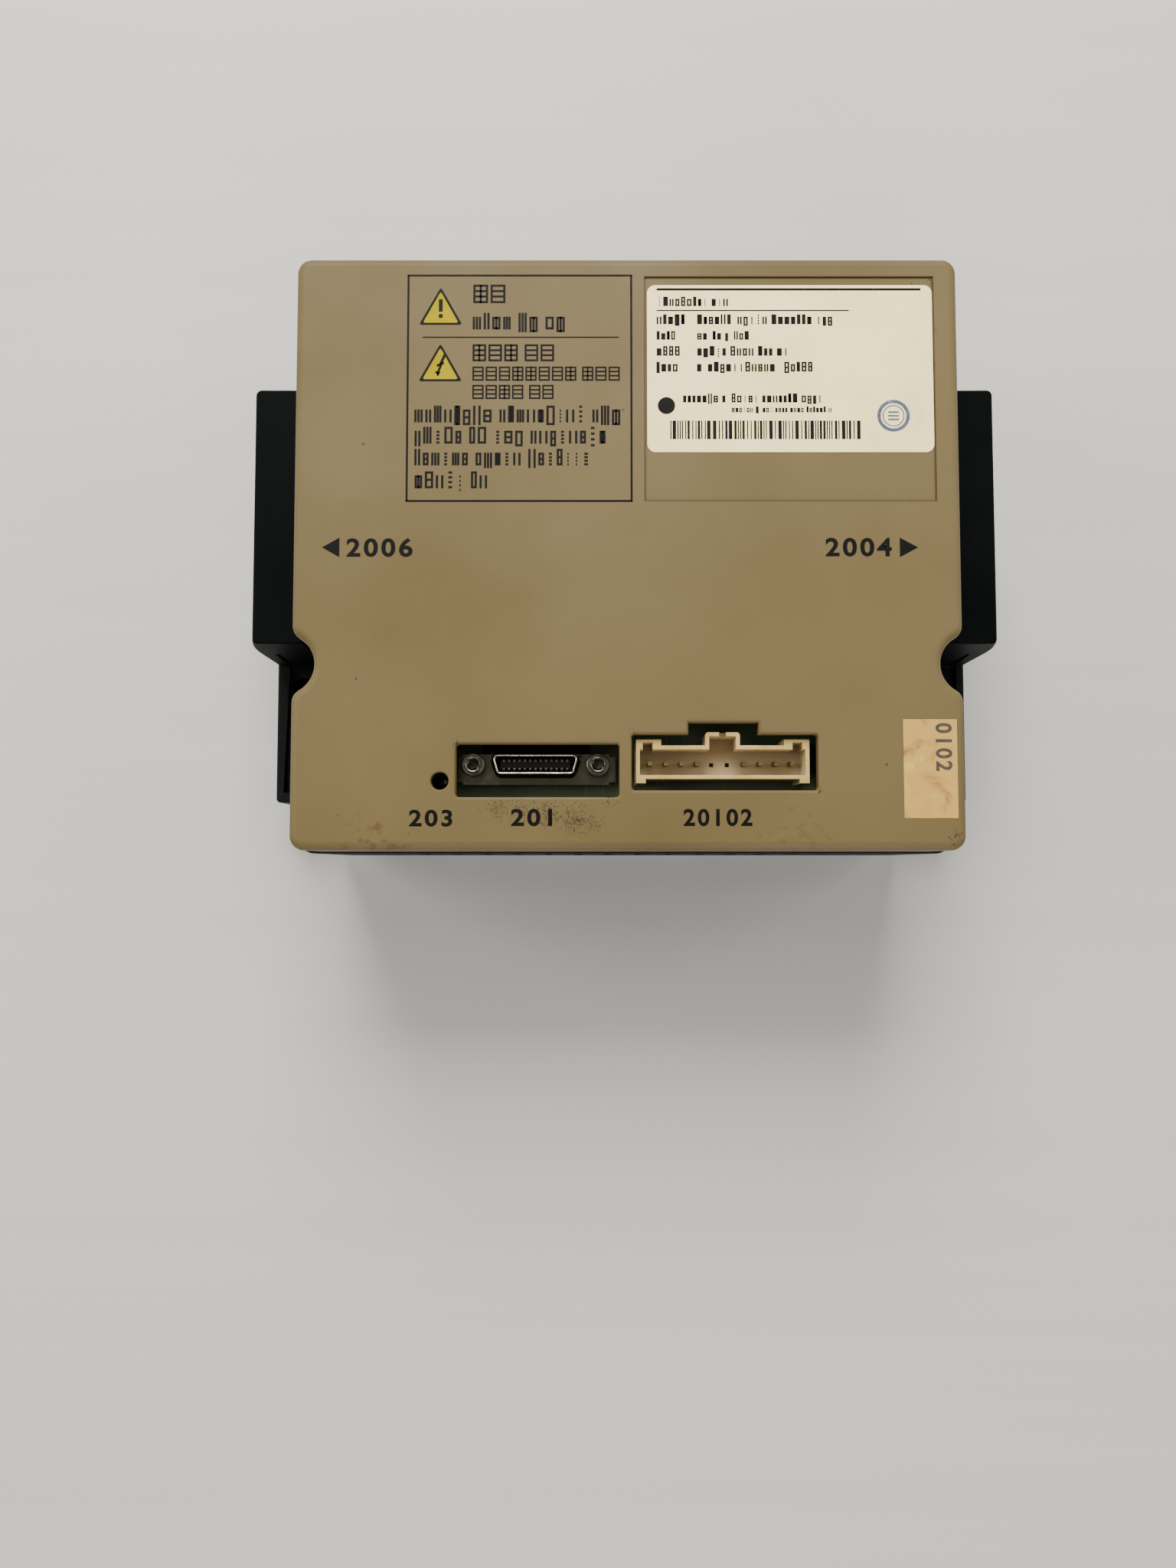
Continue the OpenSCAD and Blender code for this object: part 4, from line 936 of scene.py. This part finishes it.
bpy.ops.mesh.primitive_cylinder_add(vertices=32, radius=0.01, depth=0.002)
label_dot = fitted("label_dot", 7.4, 11.6, 33.0, 37.2, label_top)
label_print = joined("label_print", [label_blocks, label_dot])
settle(label_print, screen_ink, "cover", "label_film")

stamp_ink = moulded_plastic(
    "blue_stamp_ink", "#2E3650", "#525C74", 0.6, 0.3, 0.002, dust=0.9, drift_mm=1.5,
    dust_colour="#D9D2C2")
rings = []
for radius, line in ((3.5, 0.42), (2.5, 0.14)):
    bpy.ops.object.select_all(action="DESELECT")
    bpy.ops.mesh.primitive_torus_add(
        major_radius=radius * MM, minor_radius=line * MM, major_segments=64, minor_segments=6)
    reach = radius + line
    rings.append(fitted(
        "stamp_ring", 64.1 - reach, 64.1 + reach, 32.6 - reach, 32.6 + reach, label_top, 0.015))
rings.append(inked_blocks("stamp_bars", label_top, [
    (64.1, 33.5, 2.6, 0.42), (64.1, 32.6, 2.6, 0.42), (64.1, 31.7, 2.6, 0.42)], 0.012))
settle(joined("label_stamp", rings), stamp_ink, "cover", "label_film")

# ---- Paper sticker ----
# Plain paper sticker, yellowed and stained by oil, rubber-stamped with a number along its side.

sticker_paper, shader = new_finish("yellowed_paper")
place = add_node(sticker_paper, "ShaderNodeTexCoord").outputs["Object"]
pulp = add_node(
    sticker_paper, "ShaderNodeTexNoise",
    {"Vector": place, "Scale": 1000 / 2.2, "Detail": 6.0, "Roughness": 0.65})
soaked = add_node(
    sticker_paper, "ShaderNodeTexNoise",
    {"Vector": place, "Scale": 1000 / 9, "Detail": 5.0, "Roughness": 0.6, "Distortion": 0.8})
tone = add_node(
    sticker_paper, "ShaderNodeMix",
    {0: pulp.outputs["Fac"], 6: linear("#BE9848"), 7: linear("#A88138")}, data_type="RGBA")
for low, high, strength, colour in (
    (0.52, 0.62, 0.7, "#93682A"), (0.6, 0.7, 0.6, "#6A4517"), (0.4, 0.3, 0.6, "#D6B25E"),
):
    soak = add_node(
        sticker_paper, "ShaderNodeMapRange",
        {"Value": soaked.outputs["Fac"], "From Min": low, "From Max": high, "To Max": strength})
    tone = add_node(
        sticker_paper, "ShaderNodeMix",
        {0: soak.outputs[0], 6: tone.outputs[2], 7: linear(colour)}, data_type="RGBA")
fibres = add_node(
    sticker_paper, "ShaderNodeTexNoise", {"Vector": place, "Scale": 1000 / 0.4, "Detail": 3.0})
bump = add_node(
    sticker_paper, "ShaderNodeBump",
    {"Height": fibres.outputs["Fac"], "Distance": 0.01 * MM, "Strength": 0.9})
sticker_paper.node_tree.links.new(tone.outputs[2], shader.inputs["Base Color"])
sticker_paper.node_tree.links.new(bump.outputs[0], shader.inputs["Normal"])
shader.inputs["Roughness"].default_value = 0.72
coat("paper_sticker", sticker_paper)
rubber_stamp_ink = moulded_plastic(
    "grey_stamp_ink", "#2C2820", "#443B2C", 0.7, 0.3, 0.002, dust=0.9, drift_mm=1.2,
    dust_colour="#9C7C44")
sticker_number = numbered(
    "sticker_number", "0102", 72.7, 76.6, -53.1, -41.7, 80.12, -90)
settle(sticker_number, rubber_stamp_ink, "cover", "sticker_paper")

low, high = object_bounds()
